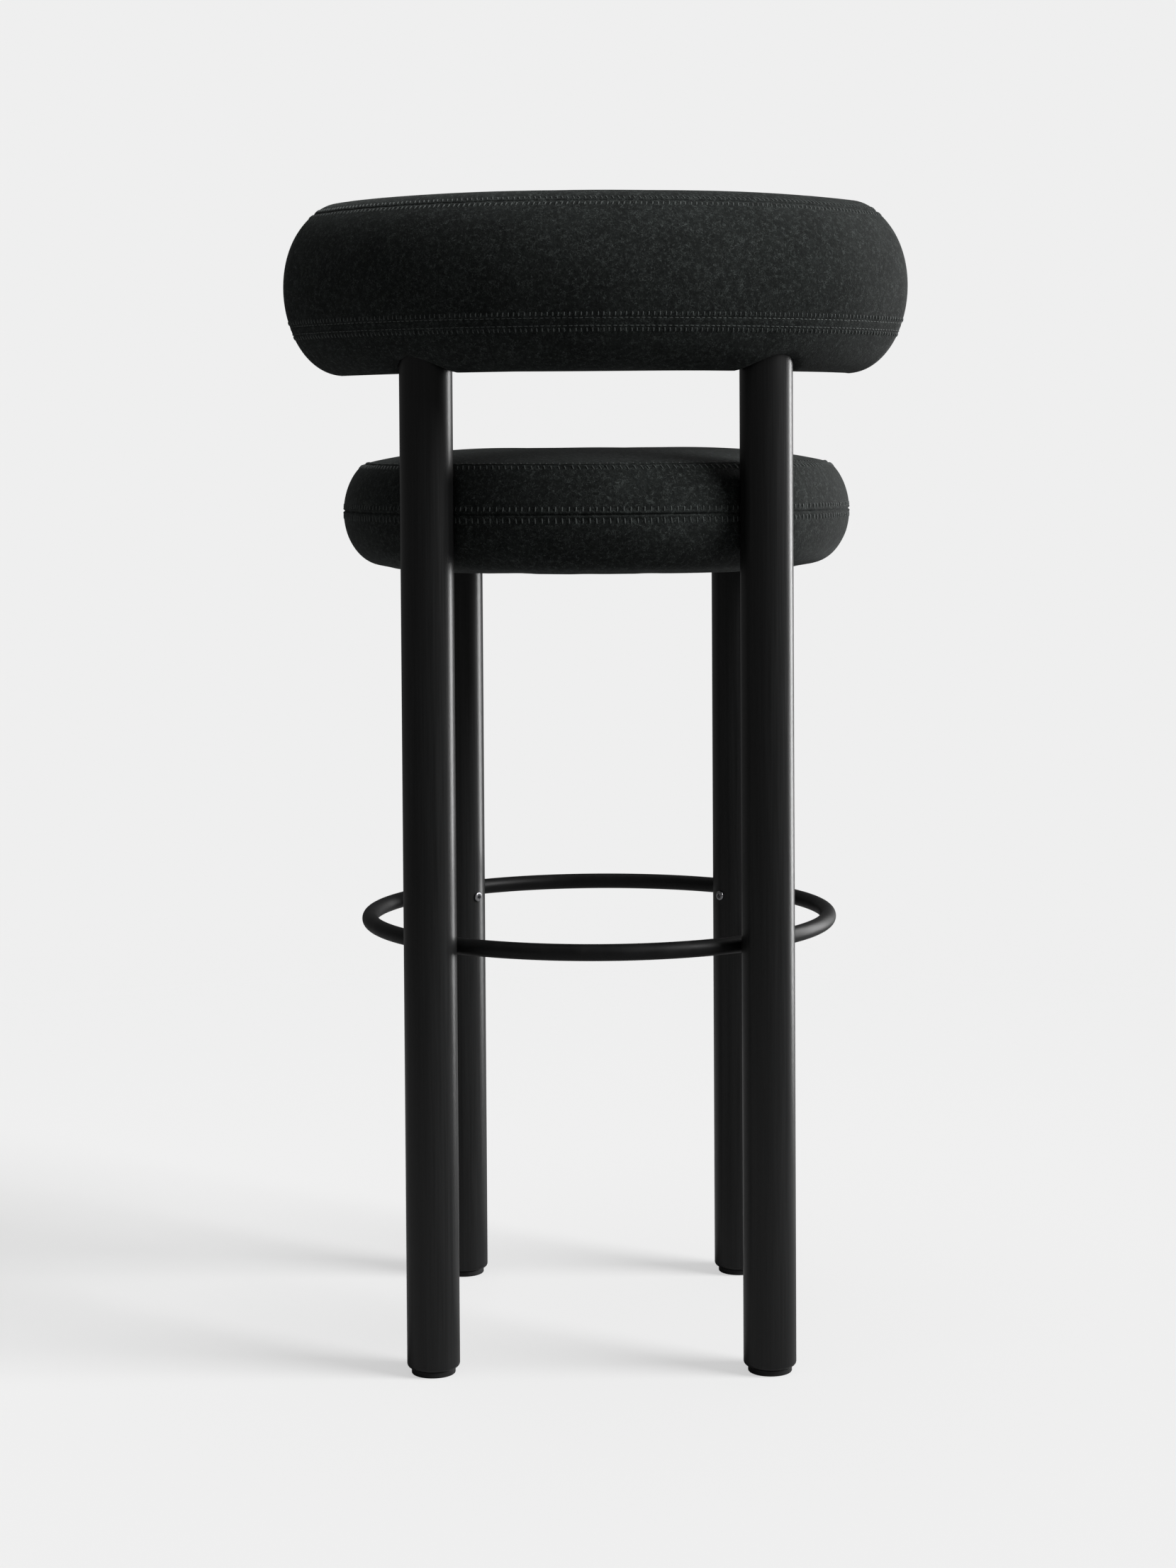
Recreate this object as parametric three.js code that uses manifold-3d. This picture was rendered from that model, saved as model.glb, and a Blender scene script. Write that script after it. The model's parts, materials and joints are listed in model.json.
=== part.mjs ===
// A bar stool: four straight round wooden legs, a round steel footrest, a thick round seat cushion,
// and a crescent-shaped back cushion carried by the two rear legs.
// Millimetres. +Z is up, the sitter faces -Y, and the sitter's left is +X.
// The sizes below are measured from the footrest's centre line. The last lines move the origin to the
// middle of the stool's outer box, on the floor.

import * as THREE from 'three';
import { mergeVertices } from 'three/addons/utils/BufferGeometryUtils.js';
import Module from 'manifold-3d';

const wasm = await Module();
wasm.setup();

// ---------------------------------------------------------------- driving dimensions

const GAP = 0.3; // clearance between two pieces that touch
const COVER = 2.5; // thickness of the cloth with its wadding

const LEG_RADIUS = 22;
const FRONT_LEG_SPACING = 256;
const REAR_LEG_SPACING = 280;
const REAR_LEG_TOP = 944;
const FOOT_ROUND = 3.5; // radius of the rounded lower end of a leg
const FOOT_STEPS = 3;
const TOP_CHAMFER = 1.5;
const LEG_SIDES = 20;
const ROD_SIDES = 10; // of the bolts, studs and the holes they run in

const GLIDE = { radius: 18.3, height: 5, edge: 1, sinkRadius: 4.8, sinkDepth: 2.6 };
const GLIDE_SCREW = { radius: 2, length: 22, headRadius: 4.2, headDepth: 2.4, recess: 0.4 };

const RING = { radius: 203, bar: 7, height: 354, sides: 8, steps: 48 };
const RING_HOUSING = 2; // how far the bar sits into each leg
const RING_BOLT = {
  radius: 3,
  chamfer: 1,
  headRadius: 4.3,
  headHeight: 1.5,
  headRounding: 0.6,
  socketRadius: 2.1,
  socketDepth: 2.6,
  frontBite: 9, // thread length in the bar, on the front legs
  rearReach: 2, // how far the bolt ends past a rear leg's middle
  headRoom: 5,
};
const INSERT = { radius: 5, length: 19 };

const SEAT = {
  centreY: -8,
  radius: 222,
  bottom: 664,
  widest: 712,
  middleSeam: 714,
  topSeam: 756.5,
  crown: 768,
  lowerRound: 36,
  upperRound: [38, 52],
  lowerSteps: 4,
  upperSteps: 3,
  domeShares: [0.8, 0.5, 0], // of the top seam's radius
  sides: 40,
};
const BOARD = { radius: 200, bottom: 688, thickness: 18, earWidth: 40 };
const HEM_RADIUS = 140; // edge of the cloth that is turned in under the seat
const DUST_COVER = { radius: 146, thickness: 1.2 };
const STUD = { radius: 4, depth: 40, legReach: 6, nutReach: 9 }; // reach past a leg's or a nut's middle
const TEE_NUT = { radius: 5.5, flangeRadius: 10, flange: 1.5, length: 10 };
const BARREL_NUT = { radius: 6, height: 12, inset: 25 };

const BACK = {
  centreY: -29,
  arcRadius: 250,
  halfAngle: THREE.MathUtils.degToRad(59),
  halfWidth: 50,
  keel: 9.5, // half width of the narrow flat along the underside
  crest: 0.35, // half width of the level crown, as a share of the upper seam's
  bottom: 829,
  widest: 905,
  lowerSeam: 872,
  upperSeam: 966,
  crown: 977,
  upperRound: [40, 68],
  lowerSteps: 5,
  upperSteps: 3,
  arcSteps: 14,
  endSteps: 5,
};
const PANEL = { thickness: 10, bottom: 864, top: 944, halfAngle: THREE.MathUtils.degToRad(48) };
const PANEL_SCREW = { radius: 2.5, length: 42, headRadius: 5, headDepth: 3, inset: 20 };

const PAST = 1; // how far a cutting shape reaches past the face that it opens
const TALL = 1000; // higher than the whole stool
const LEAST_WIDTH = 0.5; // keeps an inset section from closing up

// ---------------------------------------------------------------- finishes

const WOOD = { color: 0x17181a, roughness: 0.38, metalness: 0 };
const PLYWOOD = { color: 0xc49a6c, roughness: 0.7, metalness: 0 };
const BLACK_STEEL = { color: 0x101112, roughness: 0.35, metalness: 0.4 };
const BRIGHT_STEEL = { color: 0xb9bcc0, roughness: 0.3, metalness: 1 };
const NYLON = { color: 0x0d0d0e, roughness: 0.6, metalness: 0 };
const WOOL = { color: 0x3b4140, roughness: 0.95, metalness: 0 };
const FOAM = { color: 0xe3dcc6, roughness: 0.95, metalness: 0 };
const LINING = { color: 0x1b1c1d, roughness: 0.9, metalness: 0 };

// ---------------------------------------------------------------- solids

const stool = new THREE.Group();

// Turns a closed geometry into a solid that can be joined and cut.
function solid(geometry) {
  geometry.deleteAttribute('normal');
  geometry.deleteAttribute('uv');
  const welded = mergeVertices(geometry, 1e-3);
  const corners = welded.index.array;
  const triangles = [];
  for (let i = 0; i < corners.length; i += 3) {
    const [a, b, c] = corners.slice(i, i + 3);
    if (a !== b && b !== c && c !== a) {
      triangles.push(a, b, c);
    }
  }
  return new wasm.Manifold(new wasm.Mesh({
    numProp: 3,
    vertProperties: new Float32Array(welded.attributes.position.array),
    triVerts: new Uint32Array(triangles),
  }));
}

function addPiece(name, shape, finish) {
  const { vertProperties, triVerts } = shape.getMesh();
  const geometry = new THREE.BufferGeometry();
  geometry.setAttribute('position', new THREE.BufferAttribute(vertProperties, 3));
  geometry.setIndex(new THREE.BufferAttribute(triVerts, 1));
  geometry.computeVertexNormals();
  const mesh = new THREE.Mesh(geometry, new THREE.MeshStandardMaterial(finish));
  mesh.name = name;
  stool.add(mesh);
}

function cut(shape, ...tools) {
  return tools.reduce((left, tool) => left.subtract(tool), shape);
}

// A solid of revolution about the Z axis. The profile is a list of [radius, height], bottom to top.
function turned(profile, sides) {
  const points = profile.map(([radius, height]) => new THREE.Vector2(radius, height));
  return new THREE.LatheGeometry(points, sides).rotateX(Math.PI / 2);
}

// Moves a geometry from the origin to a place, with its +Z turned to a direction.
function placed(geometry, origin, direction = new THREE.Vector3(0, 0, 1)) {
  const turn = new THREE.Quaternion().setFromUnitVectors(new THREE.Vector3(0, 0, 1), direction);
  return geometry.applyQuaternion(turn).translate(origin.x, origin.y, origin.z);
}

// A round bar from one point to another.
function rod(radius, from, to, sides = ROD_SIDES) {
  const along = new THREE.Vector3().subVectors(to, from);
  const length = along.length();
  const bar = turned([[0, 0], [radius, 0], [radius, length], [0, length]], sides);
  return solid(placed(bar, from, along.normalize()));
}

// A round bar that stands upright at a plan point.
function post(radius, place, low, high, sides = ROD_SIDES) {
  const foot = new THREE.Vector3(place.x, place.y, low);
  return rod(radius, foot, new THREE.Vector3(place.x, place.y, high), sides);
}

// Everything between two heights.
function slab(low, high) {
  const reach = 2000;
  return solid(new THREE.BoxGeometry(reach, reach, high - low).translate(0, 0, (low + high) / 2));
}

// ---------------------------------------------------------------- plan of the legs

const FRONT_RADIUS = RING.radius - RING.bar - LEG_RADIUS + RING_HOUSING;
const REAR_RADIUS = RING.radius + RING.bar + LEG_RADIUS - RING_HOUSING;
const FRONT_Y = -Math.sqrt(FRONT_RADIUS ** 2 - (FRONT_LEG_SPACING / 2) ** 2);
const REAR_Y = Math.sqrt(REAR_RADIUS ** 2 - (REAR_LEG_SPACING / 2) ** 2);
const SIDES = [['left', 1], ['right', -1]];

const legs = SIDES.flatMap(([side, sign]) => [
  {
    name: `front_${side}`,
    front: true,
    place: new THREE.Vector3(sign * FRONT_LEG_SPACING / 2, FRONT_Y, 0),
    top: BOARD.bottom - GAP,
  },
  {
    name: `rear_${side}`,
    front: false,
    place: new THREE.Vector3(sign * REAR_LEG_SPACING / 2, REAR_Y, 0),
    top: REAR_LEG_TOP,
  },
]);
const frontLegs = legs.filter((leg) => leg.front);
const rearLegs = legs.filter((leg) => !leg.front);

// The level direction from a plan centre to a leg.
function heading(leg, centre) {
  return new THREE.Vector3(leg.place.x - centre.x, leg.place.y - centre.y, 0).normalize();
}

// The point at a distance from a plan centre towards a leg, at some height.
function towards(leg, centre, distance, height) {
  const way = heading(leg, centre).multiplyScalar(distance);
  return way.add(new THREE.Vector3(centre.x, centre.y, height));
}

const RING_CENTRE = new THREE.Vector3(0, 0, 0);
const SEAT_CENTRE = new THREE.Vector3(0, SEAT.centreY, 0);
const BACK_CENTRE = new THREE.Vector3(0, BACK.centreY, 0);
const BOARD_MIDDLE = BOARD.bottom + BOARD.thickness / 2;
const BOARD_TOP = BOARD.bottom + BOARD.thickness;

// ---------------------------------------------------------------- screws, bolts and nuts

// A low button-head bolt with a hexagon socket. Its head rests at the origin and its shank points along +Z.
function buttonBolt(bolt, length) {
  const edge = bolt.headRounding;
  const body = turned([
    [0, -bolt.headHeight],
    [bolt.headRadius - 2 * edge, -bolt.headHeight],
    [bolt.headRadius - edge / 2, -bolt.headHeight + edge],
    [bolt.headRadius, 0],
    [bolt.radius, 0],
    [bolt.radius, length - bolt.chamfer],
    [bolt.radius - bolt.chamfer, length],
    [0, length],
  ], ROD_SIDES);
  const socket = turned([
    [0, -bolt.headHeight - PAST],
    [bolt.socketRadius, -bolt.headHeight - PAST],
    [bolt.socketRadius, -bolt.headHeight + bolt.socketDepth],
    [0, -bolt.headHeight + bolt.socketDepth],
  ], 6);
  return { body, socket };
}

// A countersunk screw. The flat of its head lies at the origin and its point is along +Z.
function countersunkScrew(screw, clearance = 0) {
  const radius = screw.radius + clearance;
  const headRadius = screw.headRadius + clearance;
  return turned([
    [0, -clearance],
    [headRadius, -clearance],
    [radius, screw.headDepth + clearance],
    [radius, screw.length - screw.radius + clearance],
    [0, screw.length + clearance],
  ], ROD_SIDES);
}

// How far from the ring's centre a footrest bolt's head rests and its shank ends. A front bolt goes
// through the leg into the bar, and a rear bolt through the bar into the leg.
function footrestBoltSpan(leg) {
  const barInside = RING.radius - RING.bar;
  return leg.front
    ? { head: FRONT_RADIUS - LEG_RADIUS - GAP, end: barInside + RING_BOLT.frontBite }
    : { head: barInside - GAP, end: REAR_RADIUS + RING_BOLT.rearReach };
}

function footrestBolt(leg) {
  const { head, end } = footrestBoltSpan(leg);
  const origin = towards(leg, RING_CENTRE, head, RING.height);
  const direction = heading(leg, RING_CENTRE);
  const { body, socket } = buttonBolt(RING_BOLT, end - head);
  return cut(solid(placed(body, origin, direction)), solid(placed(socket, origin, direction)));
}

// The hole that a footrest bolt runs in, through the bar and the leg.
function footrestBoltHole(leg) {
  const { head, end } = footrestBoltSpan(leg);
  const from = towards(leg, RING_CENTRE, head - RING_BOLT.headRoom, RING.height);
  return rod(RING_BOLT.radius + GAP, from, towards(leg, RING_CENTRE, end + PAST, RING.height));
}

// Where a threaded insert begins, just past the bar that is let into the leg.
const INSERT_START = RING.radius + RING.bar + 2 * GAP;

function insertBody(leg, radius, clearance) {
  const from = towards(leg, RING_CENTRE, INSERT_START - clearance, RING.height);
  const to = towards(leg, RING_CENTRE, INSERT_START + INSERT.length + clearance, RING.height);
  return rod(radius, from, to);
}

// Where each rear leg is screwed to the bent panel in the back cushion.
const LEG_FROM_BACK = Math.hypot(REAR_LEG_SPACING / 2, REAR_Y - BACK.centreY);
const PANEL_INNER = LEG_FROM_BACK + LEG_RADIUS + GAP;
const PANEL_OUTER = PANEL_INNER + PANEL.thickness;
const PANEL_SCREW_HEIGHTS = [PANEL.bottom + PANEL_SCREW.inset, PANEL.top - PANEL_SCREW.inset];

function panelScrew(leg, height, clearance = 0) {
  const origin = towards(leg, BACK_CENTRE, PANEL_OUTER, height);
  const inward = heading(leg, BACK_CENTRE).negate();
  return solid(placed(countersunkScrew(PANEL_SCREW, clearance), origin, inward));
}

// The stud that ties a rear leg to the edge of the seat board.
const LEG_FROM_SEAT = Math.hypot(REAR_LEG_SPACING / 2, REAR_Y - SEAT.centreY);
const EAR_END = LEG_FROM_SEAT - LEG_RADIUS - 2 * GAP - COVER - GAP;
const BARREL_NUT_AT = EAR_END - BARREL_NUT.inset;

function rearStud(leg, clearance = 0) {
  const outer = towards(leg, SEAT_CENTRE, LEG_FROM_SEAT + STUD.legReach + clearance, BOARD_MIDDLE);
  const inner = towards(leg, SEAT_CENTRE, BARREL_NUT_AT - STUD.nutReach - clearance, BOARD_MIDDLE);
  return rod(STUD.radius + clearance, inner, outer);
}

function frontStud(leg, clearance = 0) {
  const low = leg.top - STUD.depth - clearance;
  return post(STUD.radius + clearance, leg.place, low, BOARD_TOP + TEE_NUT.flange);
}

function teeNut(leg) {
  const bore = STUD.radius + GAP;
  const seat = new THREE.Vector3(leg.place.x, leg.place.y, BOARD_TOP + GAP);
  const profile = [
    [bore, -TEE_NUT.length],
    [TEE_NUT.radius, -TEE_NUT.length],
    [TEE_NUT.radius, 0],
    [TEE_NUT.flangeRadius, 0],
    [TEE_NUT.flangeRadius, TEE_NUT.flange],
    [bore, TEE_NUT.flange],
    [bore, -TEE_NUT.length],
  ];
  return solid(placed(turned(profile, ROD_SIDES), seat));
}

function barrelNut(leg, clearance = 0, low = BOARD_MIDDLE - BARREL_NUT.height / 2) {
  const at = towards(leg, SEAT_CENTRE, BARREL_NUT_AT, 0);
  return post(BARREL_NUT.radius + clearance, at, low, BOARD_MIDDLE + BARREL_NUT.height / 2 + clearance);
}

// ---------------------------------------------------------------- cushion shapes

// Points [half width, height] along part of an ellipse, from one angle to another in radians.
function ellipseArc(centre, semiAxes, from, to, steps) {
  return Array.from({ length: steps + 1 }, (_, i) => {
    const angle = from + ((to - from) * i) / steps;
    return [centre[0] + semiAxes[0] * Math.cos(angle), centre[1] + semiAxes[1] * Math.sin(angle)];
  });
}

// Half of the seat's upright section, from the middle of the underside to the crown.
function seatProfile() {
  const [roundWidth, roundHeight] = SEAT.upperRound;
  const lowerCentre = [SEAT.radius - SEAT.lowerRound, SEAT.widest];
  const upperCentre = [SEAT.radius - roundWidth, SEAT.widest];
  const seamAngle = Math.asin((SEAT.topSeam - SEAT.widest) / roundHeight);
  const lowerAxes = [SEAT.lowerRound, SEAT.widest - SEAT.bottom];
  const lower = ellipseArc(lowerCentre, lowerAxes, -Math.PI / 2, 0, SEAT.lowerSteps);
  const upper = ellipseArc(upperCentre, SEAT.upperRound, 0, seamAngle, SEAT.upperSteps).slice(1);
  const seamRadius = upper.at(-1)[0];
  const dome = SEAT.domeShares.map((share) => [
    seamRadius * share,
    SEAT.crown - (SEAT.crown - SEAT.topSeam) * share ** 4,
  ]);
  return [[0, SEAT.bottom], ...lower, ...upper, ...dome];
}

// Half of the back cushion's upright section, from its underside to its crown.
function backProfile() {
  const [roundWidth, roundHeight] = BACK.upperRound;
  const lowerAxes = [BACK.halfWidth, BACK.widest - BACK.bottom];
  const upperCentre = [BACK.halfWidth - roundWidth, BACK.widest];
  const keelAngle = -Math.acos(BACK.keel / BACK.halfWidth);
  const seamAngle = Math.asin((BACK.upperSeam - BACK.widest) / roundHeight);
  const lower = ellipseArc([0, BACK.widest], lowerAxes, keelAngle, 0, BACK.lowerSteps);
  const upper = ellipseArc(upperCentre, BACK.upperRound, 0, seamAngle, BACK.upperSteps).slice(1);
  const seamWidth = upper.at(-1)[0];
  const dome = [2 * BACK.crest, BACK.crest].map((share) => {
    const fall = (share - BACK.crest) / (1 - BACK.crest);
    return [seamWidth * share, BACK.crown - (BACK.crown - BACK.upperSeam) * fall ** 2];
  });
  return [...lower, ...upper, ...dome];
}

// The same profile, moved inwards by a depth.
function inset(profile, depth) {
  return profile.map(([width, height], i) => {
    const before = profile[i - 1] ?? [0, height];
    const after = profile[i + 1] ?? [0, height];
    const along = new THREE.Vector2(after[0] - before[0], after[1] - before[1]).normalize();
    const moved = width === 0 ? 0 : Math.max(width - along.y * depth, LEAST_WIDTH);
    const lift = width === 0 ? Math.sign(along.x || 1) : along.x;
    return [moved, height + lift * depth];
  });
}

function seatBody(depth = 0) {
  return solid(placed(turned(inset(seatProfile(), depth), SEAT.sides), SEAT_CENTRE));
}

// The plan of the back cushion at one half width: an arc with round ends, anticlockwise from above.
function crescent(halfWidth) {
  const { arcRadius, halfAngle, arcSteps, endSteps, centreY } = BACK;
  const points = [];
  for (let i = 0; i <= arcSteps; i += 1) {
    const angle = halfAngle - (2 * halfAngle * i) / arcSteps;
    points.push(arcPoint(angle, arcRadius + halfWidth));
  }
  for (let i = 1; i < endSteps; i += 1) {
    points.push(endPoint(-halfAngle, (Math.PI * i) / endSteps));
  }
  for (let i = 0; i <= arcSteps; i += 1) {
    const angle = -halfAngle + (2 * halfAngle * i) / arcSteps;
    points.push(arcPoint(angle, arcRadius - halfWidth));
  }
  for (let i = endSteps - 1; i > 0; i -= 1) {
    points.push(endPoint(halfAngle, (Math.PI * i) / endSteps));
  }
  return points;

  // Angles are measured from +Y at the arc's centre.
  function arcPoint(angle, radius) {
    return new THREE.Vector2(radius * Math.sin(angle), centreY + radius * Math.cos(angle));
  }

  // A point of the round end: 0 is its outer side and pi its inner side.
  function endPoint(angle, turn) {
    const outward = new THREE.Vector2(Math.sin(angle), Math.cos(angle));
    const onward = new THREE.Vector2(Math.cos(angle), -Math.sin(angle)).multiplyScalar(Math.sign(angle));
    return arcPoint(angle, arcRadius)
      .addScaledVector(outward, halfWidth * Math.cos(turn))
      .addScaledVector(onward, halfWidth * Math.sin(turn));
  }
}

// A closed body through a stack of level outlines, each with the same number of points.
function stacked(outlines, heights) {
  const count = outlines[0].length;
  const positions = outlines.flatMap((outline, level) =>
    outline.flatMap((point) => [point.x, point.y, heights[level]]));
  const faces = [];
  for (let level = 0; level + 1 < outlines.length; level += 1) {
    for (let i = 0; i < count; i += 1) {
      const a = level * count + i;
      const b = level * count + ((i + 1) % count);
      faces.push(a, b, b + count, a, b + count, a + count);
    }
  }
  const last = (outlines.length - 1) * count;
  for (const [a, b, c] of THREE.ShapeUtils.triangulateShape(outlines[0], [])) {
    faces.push(c, b, a);
  }
  for (const [a, b, c] of THREE.ShapeUtils.triangulateShape(outlines.at(-1), [])) {
    faces.push(a + last, b + last, c + last);
  }
  const geometry = new THREE.BufferGeometry();
  geometry.setAttribute('position', new THREE.Float32BufferAttribute(positions, 3));
  geometry.setIndex(faces);
  return geometry;
}

function backBody(depth = 0) {
  const profile = inset(backProfile(), depth);
  return solid(stacked(profile.map(([width]) => crescent(width)), profile.map(([, height]) => height)));
}

// A leg's outline, as the cutter that keeps a clearance around it.
function aroundLeg(leg, clearance, low = 0, high = TALL) {
  return post(LEG_RADIUS + clearance, leg.place, low, high, LEG_SIDES);
}

// ---------------------------------------------------------------- legs, glides and footrest

function footrestBar(clearance) {
  const torus = new THREE.TorusGeometry(RING.radius, RING.bar + clearance, RING.sides, RING.steps);
  return solid(torus.translate(0, 0, RING.height));
}

function legBlank(leg) {
  const bottom = GLIDE.height + GAP;
  const round = ellipseArc(
    [LEG_RADIUS - FOOT_ROUND, bottom + FOOT_ROUND],
    [FOOT_ROUND, FOOT_ROUND],
    -Math.PI / 2,
    0,
    FOOT_STEPS,
  );
  const profile = [
    [0, bottom],
    ...round,
    [LEG_RADIUS, leg.top - TOP_CHAMFER],
    [LEG_RADIUS - TOP_CHAMFER, leg.top],
    [0, leg.top],
  ];
  return solid(placed(turned(profile, LEG_SIDES), leg.place));
}

function glideScrew(leg, clearance = 0) {
  const seat = leg.place.clone().setZ(GLIDE_SCREW.recess);
  return solid(placed(countersunkScrew(GLIDE_SCREW, clearance), seat));
}

function glide(leg) {
  const { radius, height, edge, sinkRadius, sinkDepth } = GLIDE;
  const bore = GLIDE_SCREW.radius + GAP;
  const profile = [
    [sinkRadius, 0],
    [radius - edge, 0],
    [radius, edge],
    [radius, height],
    [bore, height],
    [bore, sinkDepth + GLIDE_SCREW.recess + GAP],
    [sinkRadius, GLIDE_SCREW.recess - GAP],
    [sinkRadius, 0],
  ];
  return solid(placed(turned(profile, LEG_SIDES), leg.place));
}

function addLegs() {
  const barRoom = footrestBar(GAP);
  for (const leg of legs) {
    const holes = [barRoom, footrestBoltHole(leg), glideScrew(leg, GAP)];
    if (leg.front) {
      holes.push(frontStud(leg, GAP));
    } else {
      holes.push(insertBody(leg, INSERT.radius + GAP, GAP), rearStud(leg, GAP));
      holes.push(...PANEL_SCREW_HEIGHTS.map((height) => panelScrew(leg, height, GAP)));
    }
    addPiece(`${leg.name}_leg`, cut(legBlank(leg), ...holes), WOOD);
    addPiece(`${leg.name}_glide`, glide(leg), NYLON);
    addPiece(`${leg.name}_glide_screw`, glideScrew(leg), BRIGHT_STEEL);
  }
}

function addFootrest() {
  addPiece('footrest_ring', cut(footrestBar(0), ...legs.map(footrestBoltHole)), BLACK_STEEL);
  for (const leg of legs) {
    addPiece(`footrest_bolt_${leg.name}`, footrestBolt(leg), BRIGHT_STEEL);
  }
  for (const leg of rearLegs) {
    const bore = footrestBoltHole(leg);
    addPiece(`footrest_insert_${leg.name}`, cut(insertBody(leg, INSERT.radius, 0), bore), BRIGHT_STEEL);
  }
}

// ---------------------------------------------------------------- seat

// The plywood disc, with an ear that reaches out to each rear leg.
function boardBlank(clearance) {
  const low = BOARD.bottom - clearance;
  const high = BOARD_TOP + clearance;
  const disc = post(BOARD.radius + clearance, SEAT_CENTRE, low, high, SEAT.sides);
  return rearLegs.reduce((board, leg) => {
    const reach = EAR_END + clearance;
    const ear = new THREE.BoxGeometry(BOARD.earWidth + 2 * clearance, reach, high - low);
    const turn = Math.atan2(-leg.place.x, leg.place.y - SEAT.centreY);
    ear.translate(0, reach / 2, (low + high) / 2).rotateZ(turn).translate(0, SEAT.centreY, 0);
    return board.add(solid(ear));
  }, disc);
}

function addSeatBoard() {
  const teeNutHoles = frontLegs.map((leg) =>
    post(TEE_NUT.radius + GAP, leg.place, BOARD_TOP - TEE_NUT.length - GAP, BOARD_TOP + PAST));
  const studHoles = frontLegs.map((leg) => frontStud(leg, GAP));
  const rearHoles = rearLegs.flatMap((leg) => [
    rearStud(leg, GAP),
    barrelNut(leg, GAP, BOARD.bottom - PAST),
  ]);
  addPiece('seat_board', cut(boardBlank(0), ...teeNutHoles, ...studHoles, ...rearHoles), PLYWOOD);
}

function addSeatFasteners() {
  for (const leg of frontLegs) {
    addPiece(`seat_stud_${leg.name}`, frontStud(leg), BRIGHT_STEEL);
    addPiece(`seat_tee_nut_${leg.name}`, teeNut(leg), BRIGHT_STEEL);
  }
  for (const leg of rearLegs) {
    addPiece(`seat_stud_${leg.name}`, rearStud(leg), BRIGHT_STEEL);
    addPiece(`seat_barrel_nut_${leg.name}`, cut(barrelNut(leg), rearStud(leg, GAP)), BRIGHT_STEEL);
  }
}

function addSeatFoam() {
  const depth = COVER + GAP;
  const room = rearLegs.map((leg) => aroundLeg(leg, GAP + depth));
  const body = cut(seatBody(depth), ...room, boardBlank(GAP), ...rearLegs.map((leg) => rearStud(leg, GAP)));
  const upper = body.intersect(slab(BOARD_MIDDLE + GAP / 2, SEAT.crown));
  const lower = body.intersect(slab(SEAT.bottom, BOARD_MIDDLE - GAP / 2));
  const teeNutRoom = frontLegs.map((leg) =>
    post(TEE_NUT.flangeRadius + GAP, leg.place, BOARD_TOP - PAST, BOARD_TOP + TEE_NUT.flange + 2 * GAP));
  addPiece('seat_foam_upper', cut(upper, ...teeNutRoom), FOAM);
  addPiece('seat_foam_lower', cut(lower, ...frontLegs.map((leg) => aroundLeg(leg, GAP))), FOAM);
}

// The cover is a skin that dips round the rear legs, sewn from three panels.
function addSeatCover() {
  const outside = cut(seatBody(), ...rearLegs.map((leg) => aroundLeg(leg, GAP)));
  const inside = cut(seatBody(COVER), ...rearLegs.map((leg) => aroundLeg(leg, GAP + COVER)));
  const skin = outside.subtract(inside);
  const half = GAP / 2;
  const top = skin.intersect(slab(SEAT.topSeam + half, SEAT.crown + PAST));
  const upper = skin.intersect(slab(SEAT.middleSeam + half, SEAT.topSeam - half));
  const lower = cut(
    skin.intersect(slab(SEAT.bottom - PAST, SEAT.middleSeam - half)),
    post(HEM_RADIUS, SEAT_CENTRE, SEAT.bottom - PAST, SEAT.bottom + COVER + PAST, SEAT.sides),
    ...frontLegs.map((leg) => aroundLeg(leg, GAP)),
    ...rearLegs.map((leg) => rearStud(leg, GAP)),
  );
  addPiece('seat_cover_top', top, WOOL);
  addPiece('seat_cover_upper_band', upper, WOOL);
  addPiece('seat_cover_lower_band', lower, WOOL);
  const lining = post(
    DUST_COVER.radius,
    SEAT_CENTRE,
    SEAT.bottom - GAP - DUST_COVER.thickness,
    SEAT.bottom - GAP,
    SEAT.sides,
  );
  addPiece('seat_dust_cover', lining, LINING);
}

// ---------------------------------------------------------------- back

// The bent plywood that stands behind the rear legs.
function panelBlank(clearance) {
  const outline = new THREE.Shape();
  const middle = Math.PI / 2;
  const reach = PANEL.halfAngle + clearance / PANEL_OUTER;
  outline.absarc(0, 0, PANEL_OUTER + clearance, middle - reach, middle + reach, false);
  outline.absarc(0, 0, PANEL_INNER - clearance, middle + reach, middle - reach, true);
  outline.closePath();
  const depth = PANEL.top - PANEL.bottom + 2 * clearance;
  const geometry = new THREE.ExtrudeGeometry(outline, { depth, bevelEnabled: false, curveSegments: 12 });
  return solid(geometry.translate(0, BACK.centreY, PANEL.bottom - clearance));
}

function addBackPanel() {
  const screws = rearLegs.flatMap((leg) => PANEL_SCREW_HEIGHTS.map((height) => ({ leg, height })));
  const holes = screws.map(({ leg, height }) => panelScrew(leg, height, GAP));
  addPiece('back_panel', cut(panelBlank(0), ...holes), PLYWOOD);
  for (const { leg, height } of screws) {
    const level = height === PANEL_SCREW_HEIGHTS[0] ? 'lower' : 'upper';
    addPiece(`back_screw_${leg.name}_${level}`, panelScrew(leg, height), BRIGHT_STEEL);
  }
}

function addBackFoam() {
  const room = rearLegs.map((leg) => aroundLeg(leg, GAP, 0, REAR_LEG_TOP + GAP));
  addPiece('back_foam', cut(backBody(COVER + GAP), ...room, panelBlank(GAP)), FOAM);
}

function addBackCover() {
  const skin = backBody().subtract(backBody(COVER));
  const half = GAP / 2;
  const base = skin.intersect(slab(BACK.bottom - PAST, BACK.lowerSeam - half));
  addPiece('back_cover_top', skin.intersect(slab(BACK.upperSeam + half, BACK.crown + PAST)), WOOL);
  addPiece('back_cover_band', skin.intersect(slab(BACK.lowerSeam + half, BACK.upperSeam - half)), WOOL);
  addPiece('back_cover_base', cut(base, ...rearLegs.map((leg) => aroundLeg(leg, GAP))), WOOL);
}

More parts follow.
